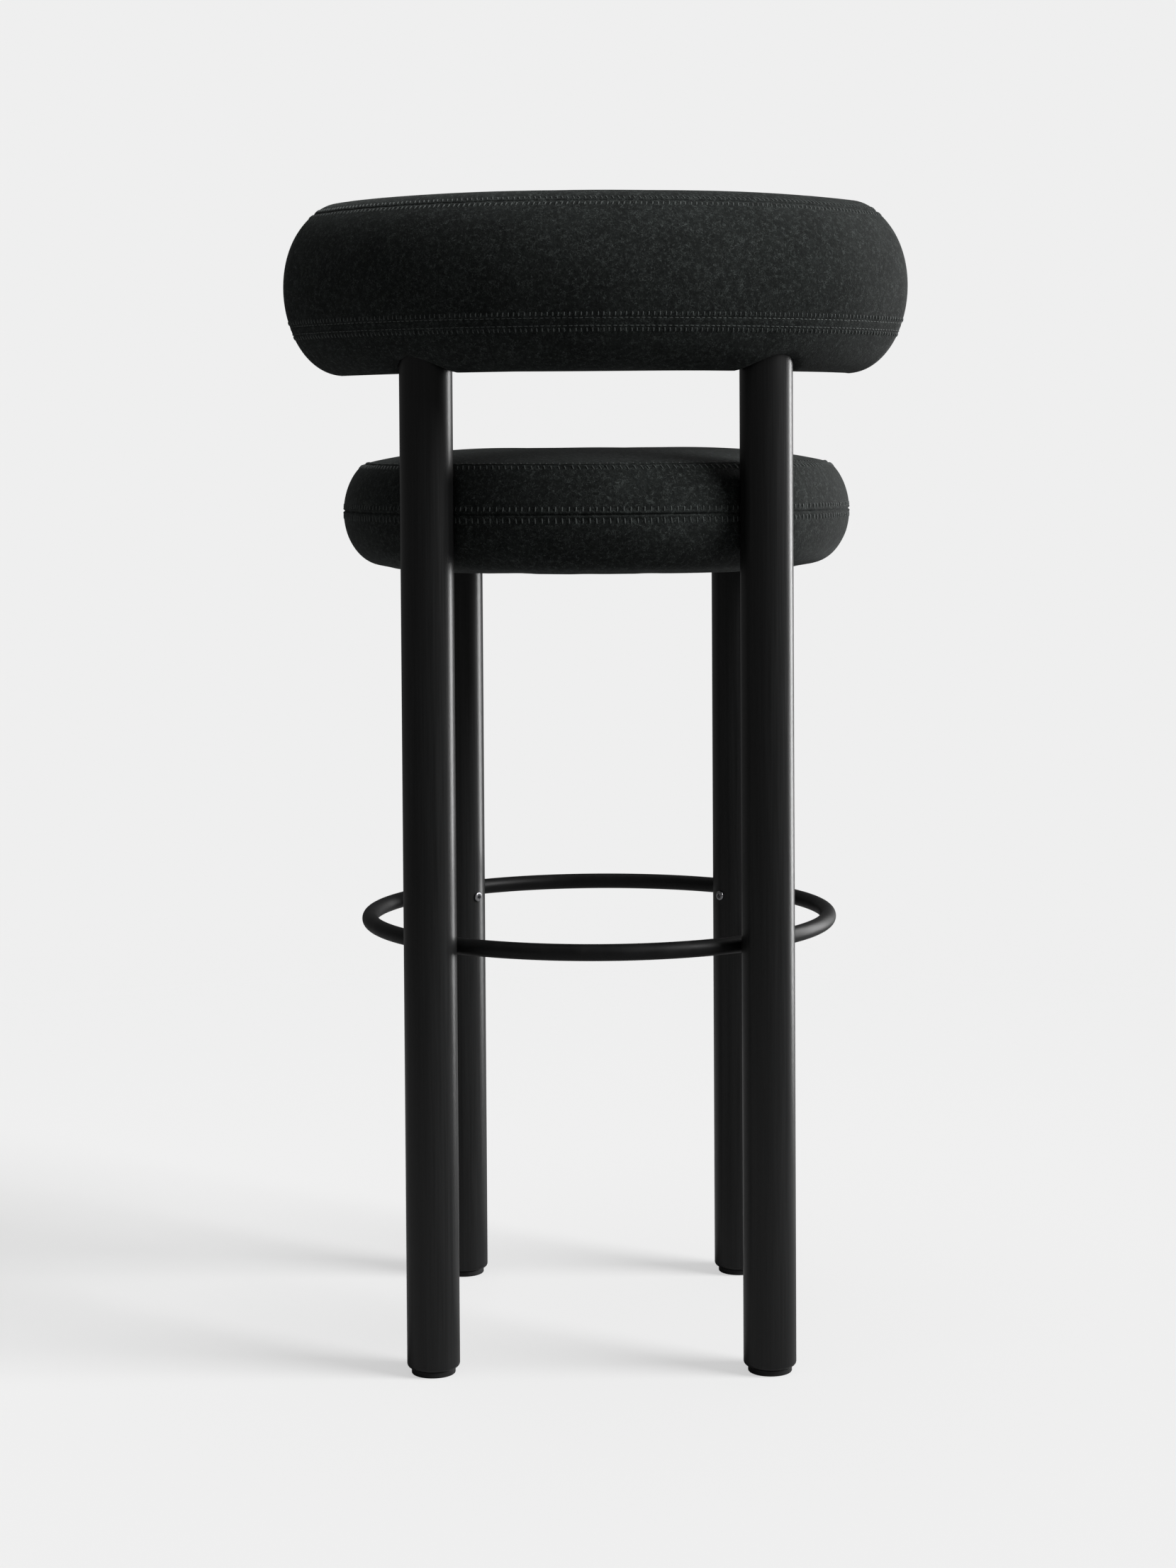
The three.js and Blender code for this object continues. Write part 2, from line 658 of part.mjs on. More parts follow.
// ---------------------------------------------------------------- assembly

addLegs();
addFootrest();
addSeatBoard();
addSeatFasteners();
addSeatFoam();
addSeatCover();
addBackPanel();
addBackFoam();
addBackCover();

const backEdge = BACK.centreY + BACK.arcRadius + BACK.halfWidth;
const frontEdge = SEAT.centreY - SEAT.radius;
stool.position.y = -(backEdge + frontEdge) / 2;
stool.updateMatrixWorld(true);

export default stool;
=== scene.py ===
"""The looks of a bar stool with a ring footrest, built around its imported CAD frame.

Metres, +Z up. The sitter faces -Y and the sitter's left is +X, so the camera stands behind the stool.
"""
import json
import math

import bpy
import numpy as np
from mathutils import Matrix, Vector


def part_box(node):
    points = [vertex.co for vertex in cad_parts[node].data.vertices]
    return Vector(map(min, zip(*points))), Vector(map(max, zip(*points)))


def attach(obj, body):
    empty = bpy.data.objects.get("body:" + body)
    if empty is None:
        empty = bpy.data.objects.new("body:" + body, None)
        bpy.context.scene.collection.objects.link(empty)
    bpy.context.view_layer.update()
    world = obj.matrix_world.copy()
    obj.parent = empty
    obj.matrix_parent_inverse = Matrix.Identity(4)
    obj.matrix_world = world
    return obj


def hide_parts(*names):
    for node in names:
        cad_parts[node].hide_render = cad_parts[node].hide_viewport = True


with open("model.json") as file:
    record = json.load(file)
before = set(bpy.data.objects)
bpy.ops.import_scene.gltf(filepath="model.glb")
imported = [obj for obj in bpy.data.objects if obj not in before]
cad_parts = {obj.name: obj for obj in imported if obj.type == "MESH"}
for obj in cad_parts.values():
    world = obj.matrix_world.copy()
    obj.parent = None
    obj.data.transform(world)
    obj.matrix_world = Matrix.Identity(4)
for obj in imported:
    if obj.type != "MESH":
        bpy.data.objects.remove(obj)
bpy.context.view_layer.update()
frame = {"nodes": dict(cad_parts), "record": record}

MM = 0.001
CLEARANCE = 0.3 * MM

scene = bpy.context.scene
chance = np.random.default_rng(7)


def middle(node):
    """The middle of a CAD node's box."""
    low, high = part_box(node)
    return (low + high) / 2


def box_of(nodes):
    """The lowest and highest corner of several CAD nodes together."""
    corners = np.array([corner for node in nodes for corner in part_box(node)])
    return corners.min(axis=0), corners.max(axis=0)


# ---------------------------------------------------------------- places taken from the frame

LEGS = ["front_left", "front_right", "rear_left", "rear_right"]
FRONT_LEGS = LEGS[:2]
REAR_LEGS = LEGS[2:]
LEG_PLACE = {leg: middle(f"{leg}_leg") for leg in LEGS}
leg_low, leg_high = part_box("front_left_leg")
LEG_RADIUS = (leg_high.x - leg_low.x) / 2

SEAT_NODES = ["seat_cover_top", "seat_cover_upper_band", "seat_cover_lower_band",
              "seat_foam_upper", "seat_foam_lower"]
BACK_NODES = ["back_cover_top", "back_cover_band", "back_cover_base", "back_foam"]

ring_low, ring_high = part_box("footrest_ring")
RING_BAR = (ring_high.z - ring_low.z) / 2
RING_RADIUS = (ring_high.x - ring_low.x) / 2 - RING_BAR
RING_CENTRE = (ring_low + ring_high) / 2

# ---------------------------------------------------------------- meshes


def new_object(name, vertices, faces, smooth_angle=40):
    """A mesh object whose edges are soft up to an angle, in degrees."""
    mesh = bpy.data.meshes.new(name)
    mesh.from_pydata([tuple(v) for v in vertices], [], faces)
    mesh.validate()
    mesh.polygons.foreach_set("use_smooth", [True] * len(mesh.polygons))
    mesh.set_sharp_from_angle(angle=math.radians(smooth_angle))
    piece = bpy.data.objects.new(name, mesh)
    scene.collection.objects.link(piece)
    return piece


def finish_piece(piece, slot, material, *nodes):
    """Gives a piece its finish and its place in the frame."""
    piece.data.materials.clear()
    piece.data.materials.append(material)
    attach(piece, "root")
    if nodes:
        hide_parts(*nodes)


def full_turn(count):
    """Evenly spaced angles round a circle."""
    return np.arange(count) * 2 * math.pi / count


def ring_faces(rows, columns, first=0, closed=False):
    """Quads between level rings of vertices, and between the last and first ring if closed."""
    faces = []
    for row in range(rows if closed else rows - 1):
        low = first + row * columns
        high = first + ((row + 1) % rows) * columns
        for i in range(columns):
            j = (i + 1) % columns
            faces.append((low + i, low + j, high + j, high + i))
    return faces


def turned(name, profile, sides=72, place=(0, 0, 0), axis=(0, 0, 1)):
    """A solid of revolution. The profile's [radius, height] points run from bottom to top on the axis."""
    angles = full_turn(sides)
    circle = np.column_stack([np.cos(angles), np.sin(angles)])
    rings = profile[1:-1]
    vertices = [(*(radius * point), height) for radius, height in rings for point in circle]
    faces = ring_faces(len(rings), sides)
    bottom, top = len(vertices), len(vertices) + 1
    vertices += [(0, 0, profile[0][1]), (0, 0, profile[-1][1])]
    last = (len(rings) - 1) * sides
    for i in range(sides):
        j = (i + 1) % sides
        faces += [(bottom, j, i), (top, last + i, last + j)]
    turn = Vector((0, 0, 1)).rotation_difference(Vector(axis)).to_matrix()
    vertices = [turn @ Vector(v) + Vector(place) for v in vertices]
    return new_object(name, vertices, faces)


def torus(name, radius, bar, around=288, section=32):
    """A round bar bent to a ring about the footrest's centre."""
    turns = full_turn(around)
    spin = full_turn(section)
    reach = radius + bar * np.cos(spin)
    vertices = [(r * math.cos(t), r * math.sin(t), bar * math.sin(s))
                for t in turns for r, s in zip(reach, spin)]
    faces = [tuple(reversed(face)) for face in ring_faces(around, section, closed=True)]
    return new_object(name, [Vector(v) + RING_CENTRE for v in vertices], faces)


def arc(centre, semi_axes, start, end, steps):
    """Points [width, height] along part of an ellipse, between two angles in degrees."""
    angles = np.radians(np.linspace(start, end, steps + 1))
    return [[centre[0] + semi_axes[0] * math.cos(a), centre[1] + semi_axes[1] * math.sin(a)]
            for a in angles]


def shaft(node):
    """A fastener's axis, and its middle and ends along it."""
    points = np.array([v.co for v in frame["nodes"][node].data.vertices])
    centre = np.array(middle(node))
    spread = np.linalg.eigh(np.cov((points - centre).T))
    axis = spread[1][:, -1]
    outward = centre - np.array(RING_CENTRE)
    outward[2] = 0
    if axis @ outward < 0:
        axis = -axis
    along = (points - centre) @ axis
    return Vector(axis), Vector(centre), along.min(), along.max()


def cutter(node, radius):
    """A round bar that clears a fastener's shank."""
    axis, centre, start, end = shaft(node)
    reach = radius + CLEARANCE
    low, high = start - CLEARANCE, end + CLEARANCE
    profile = [[0, low], [reach, low], [reach, high], [0, high]]
    return turned("cutter", profile, sides=32, place=centre, axis=axis)


def cut(piece, cutters):
    """Takes the cutters out of a piece."""
    for tool in cutters:
        step = piece.modifiers.new("cut", "BOOLEAN")
        step.object = tool
        step.operation = "DIFFERENCE"
        step.solver = "EXACT"
    bpy.context.view_layer.update()
    evaluated = piece.evaluated_get(bpy.context.evaluated_depsgraph_get())
    result = bpy.data.meshes.new_from_object(evaluated)
    piece.modifiers.clear()
    piece.data = result
    for tool in cutters:
        bpy.data.objects.remove(tool)
    return piece


# ---------------------------------------------------------------- materials


COLOUR_MIX_INPUTS = (0, 6, 7)  # the Mix node's sockets for its factor and two colours
COLOUR_MIX_OUTPUT = 2


class Paint:
    """A procedural material: a Principled shader and the nodes that feed it."""

    def __init__(self, name, **shader_values):
        self.material = bpy.data.materials.new(name)
        self.material.use_nodes = True
        self.tree = self.material.node_tree
        self.shader = self.tree.nodes["Principled BSDF"]
        self.place = self.tree.nodes.new("ShaderNodeTexCoord").outputs["Object"]
        for socket, value in shader_values.items():
            self.shader.inputs[socket.replace("_", " ")].default_value = value

    def connect(self, value, socket):
        """Links another node's output to a socket, or sets the socket to a plain value."""
        if isinstance(value, bpy.types.NodeSocket):
            self.tree.links.new(value, socket)
        elif socket.type == "RGBA":
            socket.default_value = (*value, 1)
        else:
            socket.default_value = value

    def feed(self, node, sockets):
        for name, value in sockets.items():
            self.connect(value, node.inputs[name])

    def stretched(self, x, y, z):
        """Object coordinates, scaled along each axis."""
        node = self.tree.nodes.new("ShaderNodeMapping")
        self.feed(node, {"Vector": self.place, "Scale": (x, y, z)})
        return node.outputs[0]

    def noise(self, scale, detail=2.0, distortion=0.0, vector=None, offset=0.0):
        """Smooth noise from 0 to 1, with a scale in cells per metre."""
        node = self.tree.nodes.new("ShaderNodeTexNoise")
        node.noise_dimensions = "4D"
        self.feed(node, {"Vector": vector or self.place, "W": offset, "Scale": scale,
                         "Detail": detail, "Distortion": distortion})
        return node.outputs[0]

    def streaks(self, cells, detail, distortion, offset=0.0):
        """Noise drawn out along the axes, with its cells per metre on each."""
        return self.noise(1, detail, distortion, self.stretched(*cells), offset)

    def ramp(self, value, low, high):
        """A blend from one colour or grey to another, each with its place from 0 to 1."""
        node = self.tree.nodes.new("ShaderNodeValToRGB")
        for element, (place, colour) in zip(node.color_ramp.elements, (low, high)):
            element.position = place
            element.color = (*colour, 1) if isinstance(colour, tuple) else (colour, colour, colour, 1)
        self.feed(node, {"Fac": value})
        return node.outputs[0]

    def maths(self, operation, a, b):
        node = self.tree.nodes.new("ShaderNodeMath")
        node.operation = operation
        for socket, value in zip(node.inputs, (a, b)):
            self.connect(value, socket)
        return node.outputs[0]

    def blend(self, share, a, b, mode="MIX"):
        """Two colours mixed by a share."""
        node = self.tree.nodes.new("ShaderNodeMix")
        node.data_type = "RGBA"
        node.blend_type = mode
        for number, value in zip(COLOUR_MIX_INPUTS, (share, a, b)):
            self.connect(value, node.inputs[number])
        return node.outputs[COLOUR_MIX_OUTPUT]

    def shaded(self, colour, shade):
        """A colour made darker or lighter by a grey."""
        return self.blend(1.0, colour, shade, "MULTIPLY")

    def colour(self, value):
        self.tree.links.new(value, self.shader.inputs["Base Color"])

    def roughness(self, value):
        self.tree.links.new(value, self.shader.inputs["Roughness"])

    def bump(self, *heights):
        """Surface relief from (height, strength, depth in metres), the finest last."""
        normal = None
        for height, strength, depth in heights:
            node = self.tree.nodes.new("ShaderNodeBump")
            self.feed(node, {"Strength": strength, "Distance": depth, "Height": height})
            if normal is not None:
                self.tree.links.new(normal, node.inputs["Normal"])
            normal = node.outputs[0]
        self.tree.links.new(normal, self.shader.inputs["Normal"])


def fibres(paint, scale, thinness, offset):
    """Thin curling lines, broken up into short lengths."""
    field = paint.noise(scale, detail=1.5, distortion=1.6, offset=offset)
    line = paint.maths("ABSOLUTE", paint.maths("SUBTRACT", field, 0.5), 0)
    thread = paint.ramp(line, (0, 1.0), (thinness, 0.0))
    gaps = paint.noise(scale * 0.8, detail=2, offset=offset + 3)
    lengths = paint.ramp(gaps, (0.46, 0.0), (0.62, 1.0))
    return paint.maths("MULTIPLY", thread, lengths)


def wool_material():
    """Felted charcoal wool: a dark ground, cloudy melange and short pale fibres."""
    dark, charcoal = (0.0065, 0.0078, 0.0074), (0.024, 0.0275, 0.0262)
    grey_fibre, pale_fibre = (0.062, 0.071, 0.068), (0.094, 0.106, 0.102)
    paint = Paint("wool_felt", Sheen_Weight=0.09, Sheen_Roughness=0.4, Sheen_Tint=(0.74, 0.8, 0.79, 1),
                  Specular_IOR_Level=0.15)
    cloud = paint.noise(26, detail=3, distortion=0.4)
    grain = paint.noise(430, detail=3, distortion=1.2, offset=2)
    ground = paint.ramp(grain, (0.3, dark), (0.7, charcoal))
    clouded = paint.shaded(ground, paint.ramp(cloud, (0.3, 0.7), (0.7, 1.15)))
    flecked = paint.blend(fibres(paint, 230, thinness=0.045, offset=5), clouded, grey_fibre)
    paint.colour(paint.blend(fibres(paint, 340, thinness=0.035, offset=11), flecked, pale_fibre))
    paint.roughness(paint.ramp(grain, (0.2, 0.82), (0.8, 0.98)))
    curls = fibres(paint, 270, thinness=0.06, offset=17)
    paint.bump((cloud, 0.25, 0.6 * MM), (grain, 0.7, 0.45 * MM), (curls, 0.5, 0.2 * MM))
    return paint.material


def thread_material(name, dark, pale):
    """Twisted sewing thread, a little glossier than the cloth."""
    paint = Paint(name, Sheen_Weight=0.15, Specular_IOR_Level=0.3)
    twist = paint.noise(2400, detail=2, distortion=0.8)
    paint.colour(paint.ramp(twist, (0.3, dark), (0.7, pale)))
    paint.roughness(paint.ramp(twist, (0.3, 0.75), (0.7, 0.6)))
    paint.bump((twist, 0.5, 0.1 * MM))
    return paint.material


def stained_wood_material():
    """Black-stained wood with a satin lacquer over long open grain."""
    dark, pale, pore = (0.0072, 0.0074, 0.0076), (0.015, 0.0154, 0.0157), (0.003, 0.003, 0.0031)
    paint = Paint("black_stained_wood", Specular_IOR_Level=0.42)
    grain = paint.streaks((620, 620, 9), detail=5, distortion=0.7)
    pores = paint.streaks((1500, 1500, 26), detail=3, distortion=0.3, offset=4)
    shade = paint.streaks((30, 30, 2.2), detail=2, distortion=0.5, offset=9)
    ground = paint.ramp(grain, (0.3, dark), (0.7, pale))
    toned = paint.shaded(ground, paint.ramp(shade, (0.3, 0.75), (0.7, 1.2)))
    paint.colour(paint.blend(paint.ramp(pores, (0.62, 0.0), (0.74, 0.7)), toned, pore))
    paint.roughness(paint.ramp(grain, (0.25, 0.3), (0.75, 0.39)))
    paint.bump((grain, 0.05, 0.06 * MM), (pores, 0.08, 0.04 * MM))
    return paint.material


def powder_coat_material():
    """Satin black powder coat with a fine orange peel and slightly rubbed high spots."""
    black, rubbed = (0.0042, 0.0043, 0.0045), (0.0085, 0.0087, 0.009)
    paint = Paint("black_powder_coat", Specular_IOR_Level=0.28)
    peel = paint.noise(900, detail=3, distortion=0.2)
    rub = paint.noise(60, detail=4, distortion=0.6, offset=6)
    paint.colour(paint.ramp(rub, (0.35, black), (0.75, rubbed)))
    paint.roughness(paint.ramp(rub, (0.3, 0.44), (0.7, 0.54)))
    paint.bump((peel, 0.25, 0.08 * MM))
    return paint.material


def zinc_material():
    """Bright plated steel with fine turning marks and dull patches."""
    dull, bright = (0.33, 0.33, 0.34), (0.56, 0.56, 0.58)
    paint = Paint("plated_steel", Metallic=1.0)
    marks = paint.streaks((1800, 1800, 260), detail=3, distortion=0.3)
    patch = paint.noise(190, detail=3, distortion=0.4, offset=5)
    paint.colour(paint.ramp(patch, (0.3, dull), (0.7, bright)))
    paint.roughness(paint.ramp(marks, (0.3, 0.22), (0.7, 0.4)))
    paint.bump((marks, 0.15, 0.03 * MM))
    return paint.material


def nylon_material():
    """Moulded black nylon with a fine spark texture."""
    black, scuffed = (0.006, 0.006, 0.006), (0.017, 0.017, 0.018)
    paint = Paint("black_nylon", Specular_IOR_Level=0.35)
    spark = paint.noise(1400, detail=2, distortion=0.3)
    scuff = paint.noise(110, detail=4, distortion=0.8, offset=3)
    paint.colour(paint.ramp(scuff, (0.35, black), (0.75, scuffed)))
    paint.roughness(paint.ramp(scuff, (0.3, 0.5), (0.7, 0.68)))
    paint.bump((spark, 0.3, 0.06 * MM))
    return paint.material


def plywood_material():
    """Bare birch plywood: stacked veneers with soft grain."""
    brown, pale = (0.44, 0.29, 0.16), (0.62, 0.45, 0.28)
    paint = Paint("birch_plywood", Specular_IOR_Level=0.3)
    grain = paint.streaks((14, 260, 260), detail=5, distortion=0.8)
    veneers = paint.streaks((0.5, 0.5, 620), detail=1, distortion=0.0, offset=2)
    ground = paint.ramp(grain, (0.3, brown), (0.7, pale))
    paint.colour(paint.shaded(ground, paint.ramp(veneers, (0.4, 0.72), (0.6, 1.0))))
    paint.roughness(paint.ramp(grain, (0.3, 0.6), (0.7, 0.78)))
    paint.bump((grain, 0.2, 0.1 * MM))
    return paint.material


def lining_material():
    """Thin black woven lining: cloudy folds under an even, thread-sized roughness."""
    black, dusty = (0.009, 0.009, 0.0095), (0.024, 0.024, 0.025)
    paint = Paint("black_lining", Sheen_Weight=0.1, Specular_IOR_Level=0.2)
    threads = paint.streaks((900, 900, 900), detail=1, distortion=0.0)
    cloud = paint.noise(45, detail=4, distortion=0.8, offset=2)
    paint.colour(paint.ramp(cloud, (0.3, black), (0.7, dusty)))
    paint.roughness(paint.ramp(threads, (0.3, 0.78), (0.7, 0.92)))
    paint.bump((cloud, 0.3, 0.4 * MM), (threads, 0.5, 0.12 * MM))
    return paint.material


wool = wool_material()
tonal_thread = thread_material("tonal_thread", (0.034, 0.038, 0.037), (0.12, 0.134, 0.13))
pale_thread = thread_material("pale_thread", (0.05, 0.056, 0.054), (0.15, 0.165, 0.16))
leg_wood = stained_wood_material()
powder_coat = powder_coat_material()
zinc = zinc_material()
nylon = nylon_material()
plywood = plywood_material()
lining = lining_material()

CARRIED_OVER = {"fastener_steel": zinc, "plywood": plywood}

# ---------------------------------------------------------------- cushion surfaces

FINE, COARSE = 4, 1  # how densely points stand round a finished cushion and round its trial
SEAT_COLUMNS = 120  # points round the coarse seat
BACK_ARC_STEPS = 44  # along each long side of the coarse back
BACK_END_STEPS = 12  # round each of its ends
SEAM_ROWS = np.array([0, 0.45, 0.9, 1.5, 2.3, 3.2, 4.2, 5.3, 6.5, 7.8]) * MM  # away from a seam
ROW_STEP = 3.2 * MM
TRIAL_ROW_STEP = 2.4 * ROW_STEP
ROW_DECIMALS = 7  # rows that are the same to this many decimals of a metre are one
POLE = 1.5 * MM  # half width at which the rings of a cushion are closed
OUTER_SHARE = 0.35  # seams lie beyond this share of a section's greatest half width
SOFTENING_STEP = 0.5 * MM
SOFTENING_WINDOW = 4  # how many reaches wide the softening looks, on each side
LEAST_LENGTH = 1e-12  # keeps a direction from being divided by nothing
LEAST_DISTANCE = 1e-6  # the same, for the distance to a leg's middle

CLOTH_FRAMES = 20
MOST_SWELL = 2.5 * MM
INWARD_SHARE = 0.2  # of the most swell, by which a point may move inwards
FULL_PERCENTILE = 92  # the simulated swell that counts as a full cushion
AROUND_PASSES, UPWARD_PASSES = 3, 2  # of smoothing
UNEVEN_WAVES, UNEVEN_SIZE = (2, 3, 5, 7), 0.5 * MM
PUCKER_WAVES, PUCKER_SIZE, PUCKER_REACH = (37, 53, 71, 96), 0.4 * MM, 9 * MM
GROOVE_WIDTH = 0.8 * MM
WELT_AT, WELT_WIDTH = 1.9 * MM, 0.9 * MM  # the raised cloth beside a seam
PULLED_AT, PULLED_WIDTH = 4.4 * MM, 2.0 * MM  # the lower cloth where the stitches pull

LEG_ROOM = 0.6 * MM  # between a leg and the cushion pressed against it
PRESS_SHARPNESS = 10
TUCK_DEPTH, TUCK_WIDTH = 3 * MM, 4 * MM


def seat_outline(width, density):
    """The seat's plan at one half width."""
    angles = full_turn(SEAT_COLUMNS * density)
    return np.column_stack([SEAT_X + width * np.cos(angles), SEAT_Y + width * np.sin(angles)])


def back_outline(width, density):
    """The back cushion's plan at one half width: an arc with round ends, anticlockwise from above."""
    arc_steps, end_steps = BACK_ARC_STEPS * density, BACK_END_STEPS * density
    sweep = np.linspace(BACK_ANGLE, -BACK_ANGLE, arc_steps + 1)
    turn = np.linspace(0, math.pi, end_steps + 1)[1:-1]

    def on_arc(angles, radius):
        return np.column_stack([radius * np.sin(angles), BACK_Y + radius * np.cos(angles)])

    def round_end(sign, turns):
        angle = sign * BACK_ANGLE
        out = np.array([math.sin(angle), math.cos(angle)])
        onward = sign * np.array([math.cos(angle), -math.sin(angle)])
        centre = on_arc(np.array([angle]), BACK_RADIUS)
        return centre + width * (np.outer(np.cos(turns), out) + np.outer(np.sin(turns), onward))

    return np.vstack([
        on_arc(sweep, BACK_RADIUS + width),
        round_end(-1, turn),
        on_arc(sweep[::-1], BACK_RADIUS - width),
        round_end(1, turn[::-1]),
    ])


def dome(seam_width, seam_height, crown, power, steps):
    """The top of an upright half section, from its upper seam in to its middle."""
    return [[seam_width * share, crown - (crown - seam_height) * share ** power]
            for share in np.linspace(1, 0, steps)[1:]]


def lengths_along(section):
    """How far along an upright section each of its points lies."""
    return np.concatenate([[0], np.cumsum(np.hypot(*np.diff(section, axis=0).T))])


def softened(section, reach):
    """An upright half section, mirrored past the axis at both ends, with its corners rounded off."""
    section = np.array(section)
    lengths = lengths_along(section)
    even = np.linspace(0, lengths[-1], round(lengths[-1] / SOFTENING_STEP) + 1)
    widths, heights = (np.interp(even, lengths, section[:, i]) for i in (0, 1))
    count = round(SOFTENING_WINDOW * reach / SOFTENING_STEP)
    weights = np.exp(-0.5 * (np.arange(-count, count + 1) * SOFTENING_STEP / reach) ** 2)
    weights /= weights.sum()
    before, after = slice(count, 0, -1), slice(-2, -count - 2, -1)
    widths = np.concatenate([-widths[before], widths, -widths[after]])
    heights = np.concatenate([heights[before], heights, heights[after]])
    return np.column_stack([np.convolve(values, weights, "valid") for values in (widths, heights)])


class Cushion:
    """A grid of points over a cushion: rows run from the underside up to the crown, columns run round."""

    def __init__(self, section, outline, seam_heights, density):
        lengths = lengths_along(section)
        wide = section[:, 0] > POLE
        start, end = lengths[wide][0], lengths[wide][-1]
        outer = section[:, 0] > OUTER_SHARE * section[:, 0].max()
        self.seams = [float(np.interp(h, section[outer, 1], lengths[outer])) for h in seam_heights]
        step = ROW_STEP if density == FINE else TRIAL_ROW_STEP
        rows = np.linspace(start, end, round((end - start) / step))
        if density == FINE:
            gap = SEAM_ROWS[-1] + 0.5 * ROW_STEP
            rows = rows[[all(abs(s - seam) > gap for seam in self.seams) for s in rows]]
            near = [seam + sign * SEAM_ROWS for seam in self.seams for sign in (1, -1)]
            rows = np.unique(np.round(np.concatenate([rows, *near]), ROW_DECIMALS))
        self.rows = rows
        self.density = density
        widths = np.interp(rows, lengths, section[:, 0])
        heights = np.interp(rows, lengths, section[:, 1])
        plans = [outline(width, density) for width in widths]
        self.points = np.array([np.column_stack([plan, np.full(len(plan), height)])
                                for plan, height in zip(plans, heights)])
        self.is_back = outline is back_outline

    def normals(self):
        around = np.roll(self.points, -1, axis=1) - np.roll(self.points, 1, axis=1)
        upward = np.gradient(self.points, axis=0)
        normal = np.cross(around, upward)
        return normal / np.maximum(np.linalg.norm(normal, axis=2, keepdims=True), LEAST_LENGTH)

    def caps(self):
        """Faces that close the first and last ring: one face, or a strip across a long crescent."""
        rows, columns, _ = self.points.shape
        last = (rows - 1) * columns
        if not self.is_back:
            return [tuple(range(columns))[::-1], tuple(range(last, last + columns))]
        arc_steps, end_steps = BACK_ARC_STEPS * self.density, BACK_END_STEPS * self.density
        outer = list(range(arc_steps + 1))
        first_end = list(range(arc_steps + 1, arc_steps + end_steps))
        inner = list(range(arc_steps + end_steps, 2 * arc_steps + end_steps + 1))[::-1]
        second_end = list(range(2 * arc_steps + end_steps + 1, columns))
        strip = [(outer[i], outer[i + 1], inner[i + 1], inner[i]) for i in range(arc_steps)]
        ends = [(outer[-1], *first_end, inner[-1]), (inner[0], *second_end, outer[0])]
        top = [tuple(last + i for i in face) for face in strip + ends]
        return [tuple(reversed(face)) for face in strip + ends] + top

    def mesh(self, name):
        rows, columns, _ = self.points.shape
        faces = ring_faces(rows, columns) + self.caps()
        return new_object(name, self.points.reshape(-1, 3), faces, smooth_angle=60)

    def at(self, lengths, columns):
        """Points and normals at lengths up the section and places round it, in columns."""
        count = self.points.shape[1]
        last = len(self.rows) - 1.001  # just short of the last row
        row = np.clip(np.interp(lengths, self.rows, np.arange(len(self.rows))), 0, last)
        low_row, low_column = np.floor(row).astype(int), np.floor(columns).astype(int)
        up, on = (row - low_row)[:, None], (columns - low_column)[:, None]
        found = []
        for field in (self.points, self.normals()):
            a, b = (field[low_row, (low_column + step) % count] for step in (0, 1))
            c, d = (field[low_row + 1, (low_column + step) % count] for step in (0, 1))
            found.append((1 - up) * ((1 - on) * a + on * b) + up * ((1 - on) * c + on * d))
        return found

    def around(self, length, pitch):
        """Evenly spaced places round the cushion, in columns, at one length up its section."""
        row = int(np.argmin(abs(self.rows - length)))
        ring = self.points[row]
        spans = np.linalg.norm(np.roll(ring, -1, axis=0) - ring, axis=1)
        travelled = np.concatenate([[0], np.cumsum(spans)])
        count = round(travelled[-1] / pitch)
        return np.interp(np.arange(count) * travelled[-1] / count, travelled, np.arange(len(travelled)))


def blown_up(coarse, name):
    """How far each point of a coarse cushion moves, along its normal, when air pressure fills the cloth
    between the seams, which stay where they are sewn."""
    trial = coarse.mesh(name)
    columns = coarse.points.shape[1]
    sewn = [int(np.argmin(abs(coarse.rows - seam))) for seam in coarse.seams]
    sewn += [0, len(coarse.rows) - 1]
    held = trial.vertex_groups.new(name="sewn")
    held.add([row * columns + i for row in sewn for i in range(columns)], 1.0, "REPLACE")
    cloth = trial.modifiers.new("Cloth", "CLOTH").settings
    cloth.quality = 6
    cloth.mass = 0.3
    cloth.tension_stiffness = cloth.compression_stiffness = 12
    cloth.bending_stiffness = 1.5
    cloth.use_pressure = True
    cloth.uniform_pressure_force = 4
    cloth.effector_weights.gravity = 0
    cloth.vertex_group_mass = "sewn"
    for number in range(1, CLOTH_FRAMES + 1):
        scene.frame_set(number)
    evaluated = trial.evaluated_get(bpy.context.evaluated_depsgraph_get())
    moved = np.array([v.co for v in evaluated.data.vertices])[:coarse.points[:, :, 0].size]
    scene.frame_set(1)
    bpy.data.objects.remove(trial)
    outward = ((moved.reshape(coarse.points.shape) - coarse.points) * coarse.normals()).sum(axis=2)
    return np.clip(outward, -INWARD_SHARE * MOST_SWELL, MOST_SWELL)


def spread(field, coarse, fine):
    """A coarse field, smoothly filled in over a fine cushion."""
    ratio = fine.density // coarse.density
    wide = np.repeat(field, ratio, axis=1)
    for _ in range(AROUND_PASSES):
        wide = sum(np.roll(wide, step - ratio // 2, axis=1) for step in range(ratio)) / ratio
    tall = np.array([np.interp(fine.rows, coarse.rows, column) for column in wide.T]).T
    for _ in range(UPWARD_PASSES):
        inner = tall[1:-1].copy()
        tall[1:-1] = (tall[:-2] + 2 * inner + tall[2:]) / 4
    return tall


def ripples(columns, waves, size):
    """A soft unevenness round a cushion."""
    turns = full_turn(columns)
    total = sum(np.cos(wave * turns + chance.uniform(0, 2 * math.pi)) for wave in waves)
    return size * total / len(waves)


def bell(away, width):
    """1 at no distance, falling away smoothly over a width."""
    return np.exp(-((away / width) ** 2))


